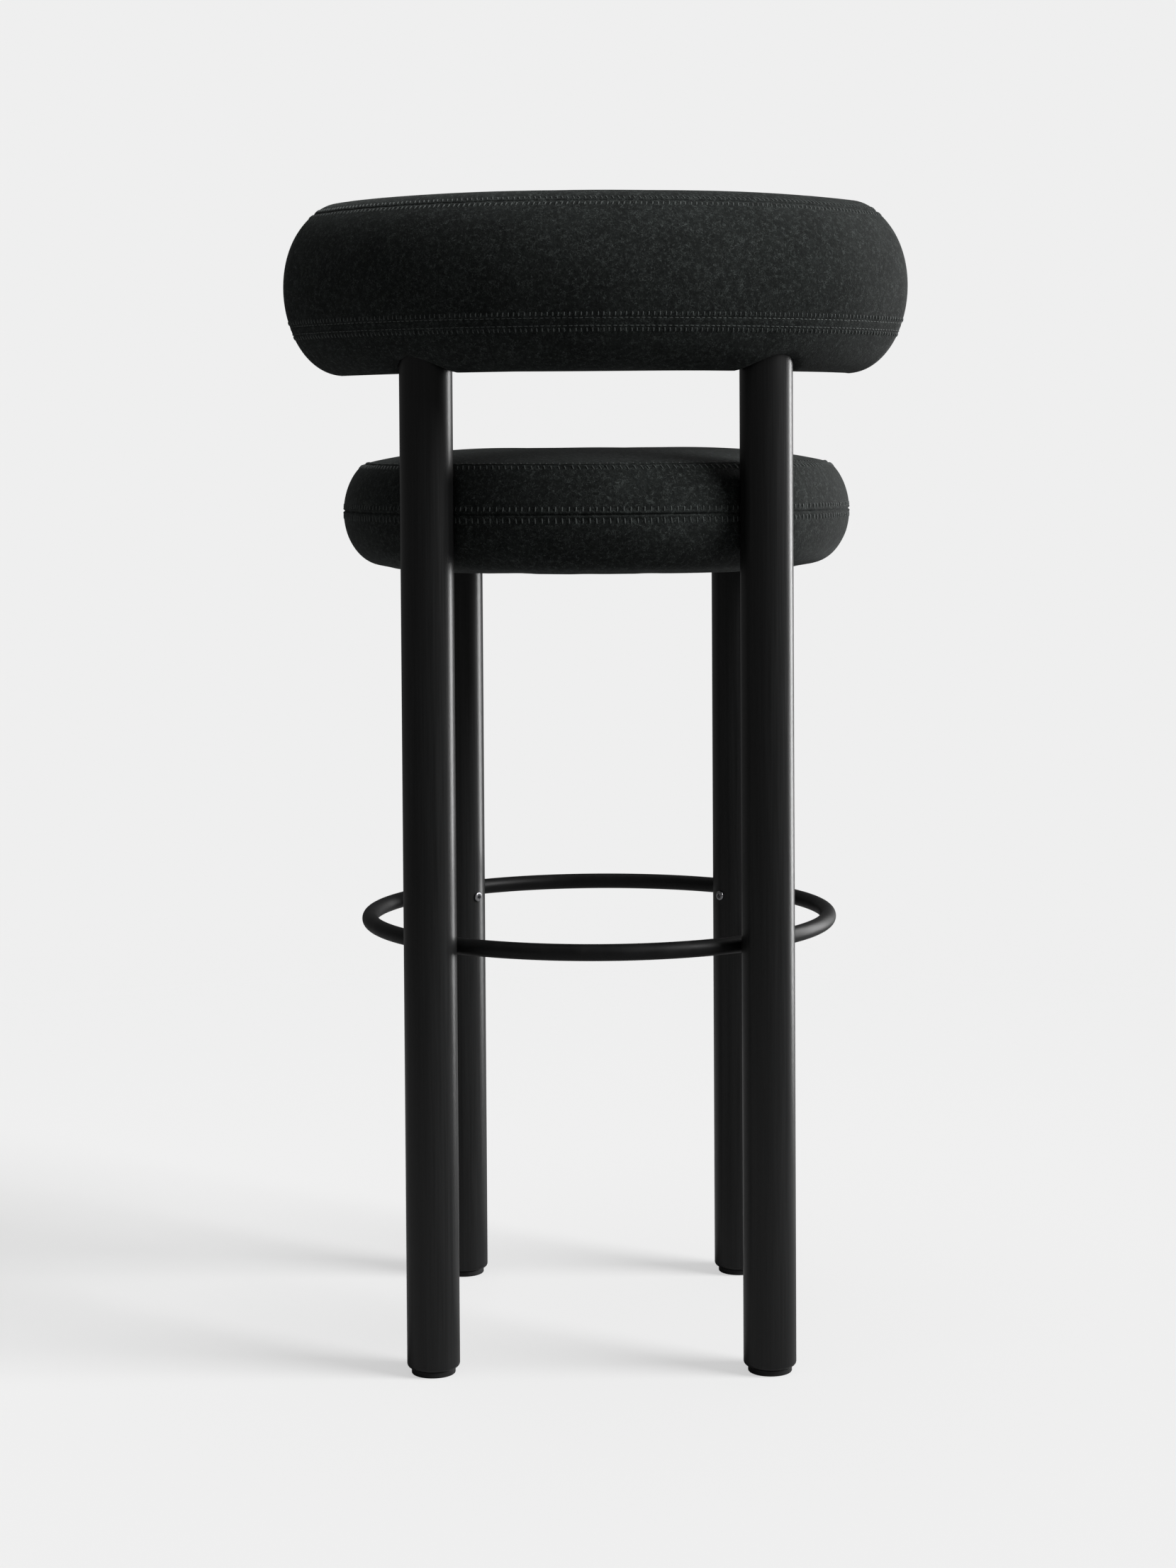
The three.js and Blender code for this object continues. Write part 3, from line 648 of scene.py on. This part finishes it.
def fill_out(fine, coarse, name, fullness, seam_depth, seam_ridge):
    """Rounds a cushion by simulation, then draws its seams in and puckers the cloth beside them."""
    rise = np.full(fine.points.shape[:2], float(fullness))
    blown = spread(blown_up(coarse, name), coarse, fine)
    rise += blown - np.percentile(blown, FULL_PERCENTILE)
    columns = fine.points.shape[1]
    rise += ripples(columns, UNEVEN_WAVES, UNEVEN_SIZE)[None, :]
    for seam, depth, ridge in zip(fine.seams, seam_depth, seam_ridge):
        away = abs(fine.rows - seam)[:, None]
        groove = bell(away, GROOVE_WIDTH)
        welt = bell(away - WELT_AT, WELT_WIDTH)
        pulled = bell(away - PULLED_AT, PULLED_WIDTH)
        pucker = ripples(columns, PUCKER_WAVES, PUCKER_SIZE)[None, :] * np.exp(-away / PUCKER_REACH)
        rise += ridge * (welt - pulled) - depth * groove + pucker
    fine.points += fine.normals() * rise[:, :, None]


def keep_off_leg(points, leg):
    """Presses a cushion's side in round an upright leg."""
    reach = LEG_RADIUS + LEG_ROOM
    offset = points[..., :2] - np.array(LEG_PLACE[leg])[:2]
    distance = np.maximum(np.linalg.norm(offset, axis=-1, keepdims=True), LEAST_DISTANCE)
    pushed = (distance ** PRESS_SHARPNESS + reach ** PRESS_SHARPNESS) ** (1 / PRESS_SHARPNESS)
    points[..., :2] += offset / distance * (pushed - distance)


def tuck_round_leg(points, leg, underside):
    """Pulls the cloth of an underside up where a leg goes into it."""
    offset = points[..., :2] - np.array(LEG_PLACE[leg])[:2]
    beyond = np.maximum(np.linalg.norm(offset, axis=-1) - LEG_RADIUS, 0)
    points[..., 2] += np.where(underside, TUCK_DEPTH * bell(beyond, TUCK_WIDTH), 0)


def leg_pocket(leg, low):
    """The room that a leg takes up inside a cushion."""
    place = LEG_PLACE[leg]
    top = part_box(f"{leg}_leg")[1].z + CLEARANCE
    radius = LEG_RADIUS + CLEARANCE
    profile = [[0, low], [radius, low], [radius, top], [0, top]]
    return turned("cutter", profile, sides=96, place=(place.x, place.y, 0))


# ---------------------------------------------------------------- seat

seat_low, seat_high = box_of(SEAT_NODES)
SEAT_X, SEAT_Y = (seat_low[:2] + seat_high[:2]) / 2
SEAT_SWELL = 3.4 * MM  # how far the seat is drawn past its CAD cover; fill_out takes part of it back
SEAT_RADIUS = (seat_high[0] - seat_low[0]) / 2 + SEAT_SWELL
SEAT_TOP_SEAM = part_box("seat_cover_top")[0].z
SEAT_MIDDLE_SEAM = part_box("seat_cover_upper_band")[0].z
SEAT_WIDEST = SEAT_MIDDLE_SEAM - 2 * MM
SEAT_LOWER_ROUND = 36 * MM
SEAT_UPPER_ROUND = [38 * MM, 52 * MM]
SEAT_DOME_POWER = 5.5  # the higher, the flatter the crown
SEAT_SOFTENING = 3 * MM
SEAT_FULLNESS = 0.6 * MM
SEAT_SEAM_DEPTHS, SEAT_SEAM_RIDGES = [1.2 * MM, 0.8 * MM], [0.4 * MM, 0.2 * MM]  # middle, top
SEAT_TUCKED = 6 * MM  # how high above the underside the cloth is tucked round the front legs
SEAT_POCKET_PAST = 5 * MM  # how far below the seat the cutters for the legs begin


def seat_section():
    """Half of the seat's upright section, from the middle of the underside to the crown."""
    round_width, round_height = SEAT_UPPER_ROUND
    lower_centre = [SEAT_RADIUS - SEAT_LOWER_ROUND, SEAT_WIDEST]
    upper_centre = [SEAT_RADIUS - round_width, SEAT_WIDEST]
    seam_angle = math.degrees(math.asin((SEAT_TOP_SEAM - SEAT_WIDEST) / round_height))
    lower = arc(lower_centre, [SEAT_LOWER_ROUND, SEAT_WIDEST - seat_low[2]], -90, 0, steps=60)
    upper = arc(upper_centre, SEAT_UPPER_ROUND, 0, seam_angle, steps=60)[1:]
    crown = dome(upper[-1][0], SEAT_TOP_SEAM, seat_high[2], SEAT_DOME_POWER, steps=80)
    return softened([[0, seat_low[2]], *lower, *upper, *crown], SEAT_SOFTENING)


def make_seat():
    """The seat cushion. Its grid is handed back for the stitches."""
    seams = [SEAT_MIDDLE_SEAM, SEAT_TOP_SEAM]
    fine, coarse = (Cushion(seat_section(), seat_outline, seams, density) for density in (FINE, COARSE))
    fill_out(fine, coarse, "seat_trial", SEAT_FULLNESS, SEAT_SEAM_DEPTHS, SEAT_SEAM_RIDGES)
    underside = fine.points[..., 2] < seat_low[2] + SEAT_TUCKED
    for leg in REAR_LEGS:
        keep_off_leg(fine.points, leg)
    for leg in FRONT_LEGS:
        tuck_round_leg(fine.points, leg, underside)
    fine_mesh = fine.mesh("seat_cushion")
    pockets = [leg_pocket(leg, seat_low[2] - SEAT_POCKET_PAST) for leg in FRONT_LEGS]
    cushion = cut(fine_mesh, pockets)
    finish_piece(cushion, "upholstery", wool, *SEAT_NODES)
    return fine


# ---------------------------------------------------------------- back cushion

back_low, back_high = box_of(BACK_NODES)
BACK_HALF_WIDTH = 50 * MM
BACK_ANGLE = math.radians(59)
BACK_RADIUS = (back_high[0] - BACK_HALF_WIDTH) / math.sin(BACK_ANGLE)
BACK_Y = back_high[1] - BACK_RADIUS - BACK_HALF_WIDTH
BACK_UPPER_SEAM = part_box("back_cover_top")[0].z
BACK_LOWER_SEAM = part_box("back_cover_band")[0].z
BACK_WIDEST = BACK_LOWER_SEAM + 33 * MM
BACK_UPPER_ROUND = [46 * MM, 68 * MM]
BACK_DOME_POWER = 2.6
BACK_SOFTENING = 10 * MM
BACK_FULLNESS = 1.2 * MM
BACK_SEAM_DEPTHS, BACK_SEAM_RIDGES = [0.4 * MM, 0.6 * MM], [0.1 * MM, 0.15 * MM]  # lower, upper
BACK_POCKET_PAST = 20 * MM


def back_section():
    """Half of the back cushion's upright section, from its lowest line to its crown."""
    round_width, round_height = BACK_UPPER_ROUND
    upper_centre = [BACK_HALF_WIDTH - round_width, BACK_WIDEST]
    seam_angle = math.degrees(math.asin((BACK_UPPER_SEAM - BACK_WIDEST) / round_height))
    lower = arc([0, BACK_WIDEST], [BACK_HALF_WIDTH, BACK_WIDEST - back_low[2]], -90, 0, steps=90)
    upper = arc(upper_centre, BACK_UPPER_ROUND, 0, seam_angle, steps=60)[1:]
    crown = dome(upper[-1][0], BACK_UPPER_SEAM, back_high[2], BACK_DOME_POWER, steps=40)
    return softened([*lower, *upper, *crown], BACK_SOFTENING)


def make_back():
    """The back cushion. Its grid is handed back for the stitches."""
    seams = [BACK_LOWER_SEAM, BACK_UPPER_SEAM]
    fine, coarse = (Cushion(back_section(), back_outline, seams, density) for density in (FINE, COARSE))
    fill_out(fine, coarse, "back_trial", BACK_FULLNESS, BACK_SEAM_DEPTHS, BACK_SEAM_RIDGES)
    underside = fine.points[..., 2] < BACK_LOWER_SEAM
    for leg in REAR_LEGS:
        tuck_round_leg(fine.points, leg, underside)
    fine_mesh = fine.mesh("back_cushion")
    pockets = [leg_pocket(leg, back_low[2] - BACK_POCKET_PAST) for leg in REAR_LEGS]
    cushion = cut(fine_mesh, pockets)
    finish_piece(cushion, "upholstery", wool, *BACK_NODES)
    return fine


# ---------------------------------------------------------------- stitches

THREAD = 0.58 * MM
FINE_THREAD = 0.4 * MM
SEAT_PITCH, BACK_PITCH = 5.6, 4.5  # between stitches, in millimetres
STITCH_SIDES = 6
STITCH_LIFTS = np.array([-0.5, 0.05, 0.14, 0.05, -0.5]) * MM  # above the cloth, from end to end
STITCH_GIRTHS = np.array([0.55, 0.95, 1.0, 0.95, 0.55])  # shares of the thread's radius
STITCH_WANDER = 0.04  # how unevenly the stitches fall, as a share of their length and pitch
RUN_SHARE = 0.8  # of the pitch that a running stitch covers


def stitches(name, cushion, seam, start, end, pitch, slant, material, thread):
    """A row of stitches. Each runs from one distance above its seam to another, and on by its slant."""
    places = cushion.around(seam, pitch)
    count = len(places)
    columns_each = cushion.points.shape[1] / count
    wander = chance.normal(0, STITCH_WANDER, (count, 2))
    shares = np.linspace(0, 1, len(STITCH_LIFTS))
    levels = seam + start + (end - start) * (shares[None, :] + 0.5 * wander[:, :1])
    across = places[:, None] + columns_each * (slant / pitch * (shares[None, :] - 0.5) + wander[:, 1:])
    points, normals = cushion.at(levels.ravel(), across.ravel())
    points = points.reshape(count, -1, 3)
    normals = normals.reshape(count, -1, 3)
    ahead = points[:, -1:] - points[:, :1]
    side = np.cross(normals, ahead)
    side /= np.linalg.norm(side, axis=2, keepdims=True)
    centre = points + normals * STITCH_LIFTS[None, :, None]
    girth = thread * STITCH_GIRTHS[None, :, None]
    spin = full_turn(STITCH_SIDES)
    rings = np.stack([centre + girth * (math.cos(s) * side + math.sin(s) * normals) for s in spin], axis=2)
    each = len(shares) * STITCH_SIDES
    faces = []
    for number in range(count):
        first = number * each
        faces += ring_faces(len(shares), STITCH_SIDES, first)
        faces.append(tuple(range(first, first + STITCH_SIDES))[::-1])
        faces.append(tuple(range(first + each - STITCH_SIDES, first + each)))
    row = new_object(name, rings.reshape(-1, 3), faces, smooth_angle=80)
    finish_piece(row, "upholstery", material)


def sew(seat, back):
    """Every row of stitches on both cushions."""
    seat_middle, seat_top = seat.seams
    back_lower, back_upper = back.seams
    run = RUN_SHARE * BACK_PITCH
    rows = [  # name, cushion, seam; start and end above it and slant, in millimetres; thread, radius
        ("seat_middle_stitches_upper", seat, seat_middle, 2.2, 7.2, 0.4, tonal_thread, THREAD),
        ("seat_middle_stitches_lower", seat, seat_middle, -2.2, -8.2, 0.4, tonal_thread, THREAD),
        ("seat_top_stitches", seat, seat_top, -1.0, -7.6, 2.4, tonal_thread, THREAD),
        ("seat_crown_stitches", seat, seat_top, 1.6, 4.6, 0.4, tonal_thread, THREAD),
        ("back_upper_stitches_crown", back, back_upper, 1.6, 6.4, -1.2, tonal_thread, THREAD),
        ("back_upper_stitches_side", back, back_upper, -1.6, -6.2, -1.2, tonal_thread, THREAD),
        ("back_lower_run_upper", back, back_lower, 0, 0, run, pale_thread, FINE_THREAD),
        ("back_lower_run_lower", back, back_lower, -6.5, -6.5, run, tonal_thread, FINE_THREAD),
        ("back_lower_stitches_upper", back, back_lower, 1.3, 5.4, 0.3, tonal_thread, THREAD),
        ("back_lower_stitches_lower", back, back_lower, -7.8, -12.0, 0.3, tonal_thread, THREAD),
    ]
    for name, cushion, seam, start, end, slant, thread, girth in rows:
        pitch = SEAT_PITCH if cushion is seat else BACK_PITCH
        stitches(name, cushion, seam, start * MM, end * MM, pitch * MM, slant * MM, thread, girth)


# ---------------------------------------------------------------- lining under the seat

LINING_RINGS, LINING_SIDES = 40, 144
LINING_MIDDLE = 0.02  # share of the radius at which its rings are closed
LINING_CREASE = 0.4 * MM
LINING_WAVES = (3, 5, 8, 13)


def make_lining():
    """A thin disc with a flat top and an underside that is slightly creased halfway out."""
    low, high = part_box("seat_dust_cover")
    radius, centre = (high.x - low.x) / 2, (low + high) / 2
    angles = full_turn(LINING_SIDES)
    waves = ripples(LINING_SIDES, LINING_WAVES, 1.0)
    outward = np.linspace(LINING_MIDDLE, 1, LINING_RINGS)
    inward = np.linspace(1, LINING_MIDDLE, LINING_RINGS)
    underside = [low.z + LINING_CREASE + LINING_CREASE * waves * share * (1 - share) * 4
                 for share in outward]
    top = [np.full(LINING_SIDES, high.z)] * LINING_RINGS
    vertices = []
    for share, height in zip([*outward, *inward], underside + top):
        reach = radius * share
        vertices += np.column_stack([centre.x + reach * np.cos(angles),
                                     centre.y + reach * np.sin(angles), height]).tolist()
    faces = ring_faces(2 * LINING_RINGS, LINING_SIDES)
    last = (2 * LINING_RINGS - 1) * LINING_SIDES
    faces += [tuple(range(LINING_SIDES))[::-1], tuple(range(last, last + LINING_SIDES))]
    disc = new_object("seat_lining", vertices, faces)
    finish_piece(disc, "lining", lining, "seat_dust_cover")


# ---------------------------------------------------------------- legs, glides, footrest and bolts

FOOT_ROUND = 3.5 * MM
TOP_CHAMFER = 1.5 * MM
LEG_ROWS = 14
FIRST_LEG_ROW, LAST_LEG_ROW = 60 * MM, 30 * MM  # above a leg's foot and below its top
ROWS_NEAR_RING = (-12 * MM, -4 * MM, 4 * MM, 12 * MM)
POINT = 0.02 * MM  # half width at which a bolt's ends are closed
GLIDE_EDGE = 1 * MM
GLIDE_SINK_ROOM = 0.6 * MM  # round the screw's head
GLIDE_SINK_DEPTH = 2.8 * MM
GLIDE_BORE = 2.3 * MM
GLIDE_SCREW_RECESS = 0.4 * MM
GLIDE_SCREW_RADIUS = 2 * MM
SHANKS = {"footrest_bolt": 3 * MM, "footrest_insert": 5 * MM, "seat_stud": 4 * MM, "back_screw": 2.5 * MM}


def fastener_cutters(leg):
    """Bores for every fastener that goes into a leg."""
    return [cutter(node, radius)
            for kind, radius in SHANKS.items()
            for node in sorted(frame["nodes"])
            if node.startswith(f"{kind}_{leg}")]


def make_leg(leg):
    low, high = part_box(f"{leg}_leg")
    foot = arc([LEG_RADIUS - FOOT_ROUND, low.z + FOOT_ROUND], [FOOT_ROUND, FOOT_ROUND], -90, 0, steps=10)
    heights = np.linspace(low.z + FIRST_LEG_ROW, high.z - LAST_LEG_ROW, LEG_ROWS)
    levels = [[LEG_RADIUS, z] for z in heights]
    near_ring = [[LEG_RADIUS, RING_CENTRE.z + z] for z in ROWS_NEAR_RING]
    side = sorted(levels + near_ring, key=lambda point: point[1])
    top = [[LEG_RADIUS, high.z - TOP_CHAMFER], [LEG_RADIUS - TOP_CHAMFER, high.z]]
    profile = [[0, low.z], *foot, *side, *top, [0, high.z]]
    body = turned(f"{leg}_post", profile, place=(LEG_PLACE[leg].x, LEG_PLACE[leg].y, 0))
    cut(body, [torus("cutter", RING_RADIUS, RING_BAR + CLEARANCE), *fastener_cutters(leg)])
    finish_piece(body, "leg_wood", leg_wood, f"{leg}_leg")


def make_glide(leg):
    node = f"{leg}_glide"
    low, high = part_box(node)
    radius, place = (high.x - low.x) / 2, middle(node)
    screw_low, screw_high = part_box(f"{leg}_glide_screw")
    sink = (screw_high.x - screw_low.x) / 2 + GLIDE_SINK_ROOM
    edge, top_edge = GLIDE_EDGE, GLIDE_EDGE / 2
    profile = [
        [0, GLIDE_SINK_DEPTH],
        [GLIDE_BORE, GLIDE_SINK_DEPTH],
        [sink, low.z + GLIDE_SCREW_RECESS],
        [sink, low.z],
        *arc([radius - edge, low.z + edge], [edge, edge], -90, 0, steps=8),
        *arc([radius - top_edge, high.z - top_edge], [top_edge, top_edge], 0, 90, steps=5),
        [0, high.z],
    ]
    body = turned(f"{leg}_foot_glide", profile, place=(place.x, place.y, 0))
    cut(body, [cutter(f"{leg}_glide_screw", GLIDE_SCREW_RADIUS)])
    finish_piece(body, "glide_nylon", nylon, node)


def make_footrest():
    bores = [cutter(f"footrest_bolt_{leg}", SHANKS["footrest_bolt"]) for leg in LEGS]
    ring = cut(torus("footrest_hoop", RING_RADIUS, RING_BAR), bores)
    finish_piece(ring, "footrest_steel", powder_coat, "footrest_ring")


def make_bolt(leg):
    """A button-head bolt with a hexagon socket, along its CAD node's axis."""
    node = f"footrest_bolt_{leg}"
    axis, centre, start, end = shaft(node)
    head, height, rounding = 4.3 * MM, 1.5 * MM, 1.1 * MM
    socket, depth = 2.1 * MM, 2.6 * MM
    bevel, chamfer = 0.25 * MM, 1 * MM
    radius = SHANKS["footrest_bolt"]
    sides = 48
    angles = full_turn(sides)
    hexagon = math.cos(math.pi / 6) / np.cos((angles % (math.pi / 3)) - math.pi / 6)
    flat = np.ones(sides)
    crown = arc([head - rounding, start + rounding], [rounding, rounding], -90, 0, steps=8)
    rings = [  # half width, place along the axis, outline
        (POINT, start + depth, flat),
        (socket, start + depth, hexagon),
        (socket, start + bevel, hexagon),
        (socket + bevel, start, hexagon),
        *((width, level, flat) for width, level in crown),
        (head, start + height - bevel, flat),
        (head - bevel, start + height, flat),
        (radius, start + height, flat),
        (radius, end - chamfer, flat),
        (radius - chamfer, end, flat),
        (POINT, end, flat),
    ]
    turn = Vector((0, 0, 1)).rotation_difference(axis).to_matrix()
    circle = np.column_stack([np.cos(angles), np.sin(angles)])
    vertices = [turn @ Vector((*(width * shape[i] * circle[i]), level)) + centre
                for width, level, shape in rings for i in range(sides)]
    last = (len(rings) - 1) * sides
    faces = ring_faces(len(rings), sides) + [tuple(range(sides))[::-1], tuple(range(last, last + sides))]
    bolt = new_object(f"{leg}_footrest_bolt", vertices, faces, smooth_angle=35)
    finish_piece(bolt, "fastener_steel", zinc, node)


def paint_carried_over_nodes():
    """Every CAD node that still shows gets the procedural material of its slot."""
    slots = {entry["node"]: entry["material_slot"] for entry in frame["record"]["subparts"]}
    for name, node in frame["nodes"].items():
        if not node.hide_render:
            for place in node.material_slots:
                place.material = CARRIED_OVER[slots[name]]


# ---------------------------------------------------------------- camera, light and floor

CAMERA_BEHIND = 2.656  # from the footrest's centre
CAMERA_HEIGHT = 0.7716
CAMERA_PITCH, CAMERA_YAW, CAMERA_ROLL = 0.0375, -0.0011, -0.0061  # radians
LENS = 68.94
SHIFT = (-0.0036, -0.145)
BACKDROP = 0.863  # the pale grey of the backdrop and of the floor around the stool
AMBIENT = 0.105
FLOOR_ALBEDO = 0.44
FLOOR_GLOW = 0.56
FLOOR_REACH = 6
FLOOR_FADE = (0.9, 2.4)  # metres from the stool over which the floor fades away


def make_camera():
    pitch, yaw, roll = CAMERA_PITCH, CAMERA_YAW, CAMERA_ROLL
    ahead = Vector((-math.sin(yaw) * math.cos(pitch), -math.cos(yaw) * math.cos(pitch), -math.sin(pitch)))
    level = Vector((-math.cos(yaw), math.sin(yaw), 0))
    upright = level.cross(ahead)
    right = math.cos(roll) * level + math.sin(roll) * upright
    up = -math.sin(roll) * level + math.cos(roll) * upright
    data = bpy.data.cameras.new("camera")
    data.lens = LENS
    data.shift_x, data.shift_y = SHIFT
    camera = bpy.data.objects.new("camera", data)
    place = Vector((0, RING_CENTRE.y + CAMERA_BEHIND, CAMERA_HEIGHT))
    camera.matrix_world = Matrix.Translation(place) @ Matrix((right, up, -ahead)).transposed().to_4x4()
    scene.collection.objects.link(camera)
    scene.camera = camera


def add_light(name, kind, energy, place, target, **settings):
    data = bpy.data.lights.new(name, kind)
    data.energy = energy
    for setting, value in settings.items():
        setattr(data, setting, value)
    light = bpy.data.objects.new(name, data)
    light.location = place
    light.rotation_euler = (Vector(target) - Vector(place)).to_track_quat("-Z", "Y").to_euler()
    scene.collection.objects.link(light)
    return light


def make_world():
    """An even backdrop that lights the stool less than it shows."""
    world = bpy.data.worlds.new("studio")
    world.use_nodes = True
    nodes, links = world.node_tree.nodes, world.node_tree.links
    nodes.clear()
    path = nodes.new("ShaderNodeLightPath")
    shown, lighting = nodes.new("ShaderNodeBackground"), nodes.new("ShaderNodeBackground")
    shown.inputs["Color"].default_value = (BACKDROP, BACKDROP, BACKDROP, 1)
    lighting.inputs["Color"].default_value = (1, 1, 1, 1)
    lighting.inputs["Strength"].default_value = AMBIENT
    mix, out = nodes.new("ShaderNodeMixShader"), nodes.new("ShaderNodeOutputWorld")
    links.new(path.outputs["Is Camera Ray"], mix.inputs[0])
    links.new(lighting.outputs[0], mix.inputs[1])
    links.new(shown.outputs[0], mix.inputs[2])
    links.new(mix.outputs[0], out.inputs[0])
    scene.world = world


def make_floor():
    """A pale floor that fades into the backdrop away from the stool."""
    reach = FLOOR_REACH
    corners = [(-reach, -reach, 0), (reach, -reach, 0), (reach, reach, 0), (-reach, reach, 0)]
    floor = new_object("studio_floor", corners, [(0, 1, 2, 3)])
    material = bpy.data.materials.new("studio_floor")
    material.use_nodes = True
    nodes, links = material.node_tree.nodes, material.node_tree.links
    nodes.clear()
    place = nodes.new("ShaderNodeTexCoord")
    length = nodes.new("ShaderNodeVectorMath")
    length.operation = "LENGTH"
    links.new(place.outputs["Object"], length.inputs[0])
    fade = nodes.new("ShaderNodeMapRange")
    fade.interpolation_type = "SMOOTHSTEP"
    fade.inputs["From Min"].default_value, fade.inputs["From Max"].default_value = FLOOR_FADE
    links.new(length.outputs["Value"], fade.inputs["Value"])
    matt, glow = nodes.new("ShaderNodeBsdfDiffuse"), nodes.new("ShaderNodeEmission")
    matt.inputs["Color"].default_value = (FLOOR_ALBEDO, FLOOR_ALBEDO, FLOOR_ALBEDO, 1)
    path, shown = nodes.new("ShaderNodeLightPath"), nodes.new("ShaderNodeMath")
    shown.operation = "MULTIPLY"
    shown.inputs[1].default_value = FLOOR_GLOW
    links.new(path.outputs["Is Camera Ray"], shown.inputs[0])
    links.new(shown.outputs[0], glow.inputs["Strength"])
    both, clear = nodes.new("ShaderNodeAddShader"), nodes.new("ShaderNodeBsdfTransparent")
    links.new(matt.outputs[0], both.inputs[0])
    links.new(glow.outputs[0], both.inputs[1])
    mix, out = nodes.new("ShaderNodeMixShader"), nodes.new("ShaderNodeOutputMaterial")
    links.new(fade.outputs["Result"], mix.inputs[0])
    links.new(both.outputs[0], mix.inputs[1])
    links.new(clear.outputs[0], mix.inputs[2])
    links.new(mix.outputs[0], out.inputs[0])
    floor.data.materials.append(material)


def make_lights():
    """A soft sun from the sitter's right, a narrow strip further to the front, and a weak lamp overhead."""
    middle_height = Vector((0, 0, 0.5))
    add_light("key", "SUN", 3.0, (-3.0, 0.9, 2.6), middle_height, angle=math.radians(31))
    strip = add_light("strip", "AREA", 50, (-1.9, -1.15, 0.95), (0.14, 0.16, 0.95), shape="RECTANGLE",
                      size=0.45, size_y=2.2)
    strip.visible_diffuse = False
    add_light("overhead", "AREA", 6, (0, 0, 2.6), (0, 0, 0), shape="RECTANGLE", size=1.6, size_y=1.6)


# ---------------------------------------------------------------- the stool

scene.view_settings.view_transform = "Standard"
make_camera()
make_world()
make_lights()
make_floor()
for leg_name in LEGS:
    make_leg(leg_name)
    make_glide(leg_name)
    make_bolt(leg_name)
make_footrest()
make_lining()
sew(make_seat(), make_back())
paint_carried_over_nodes()
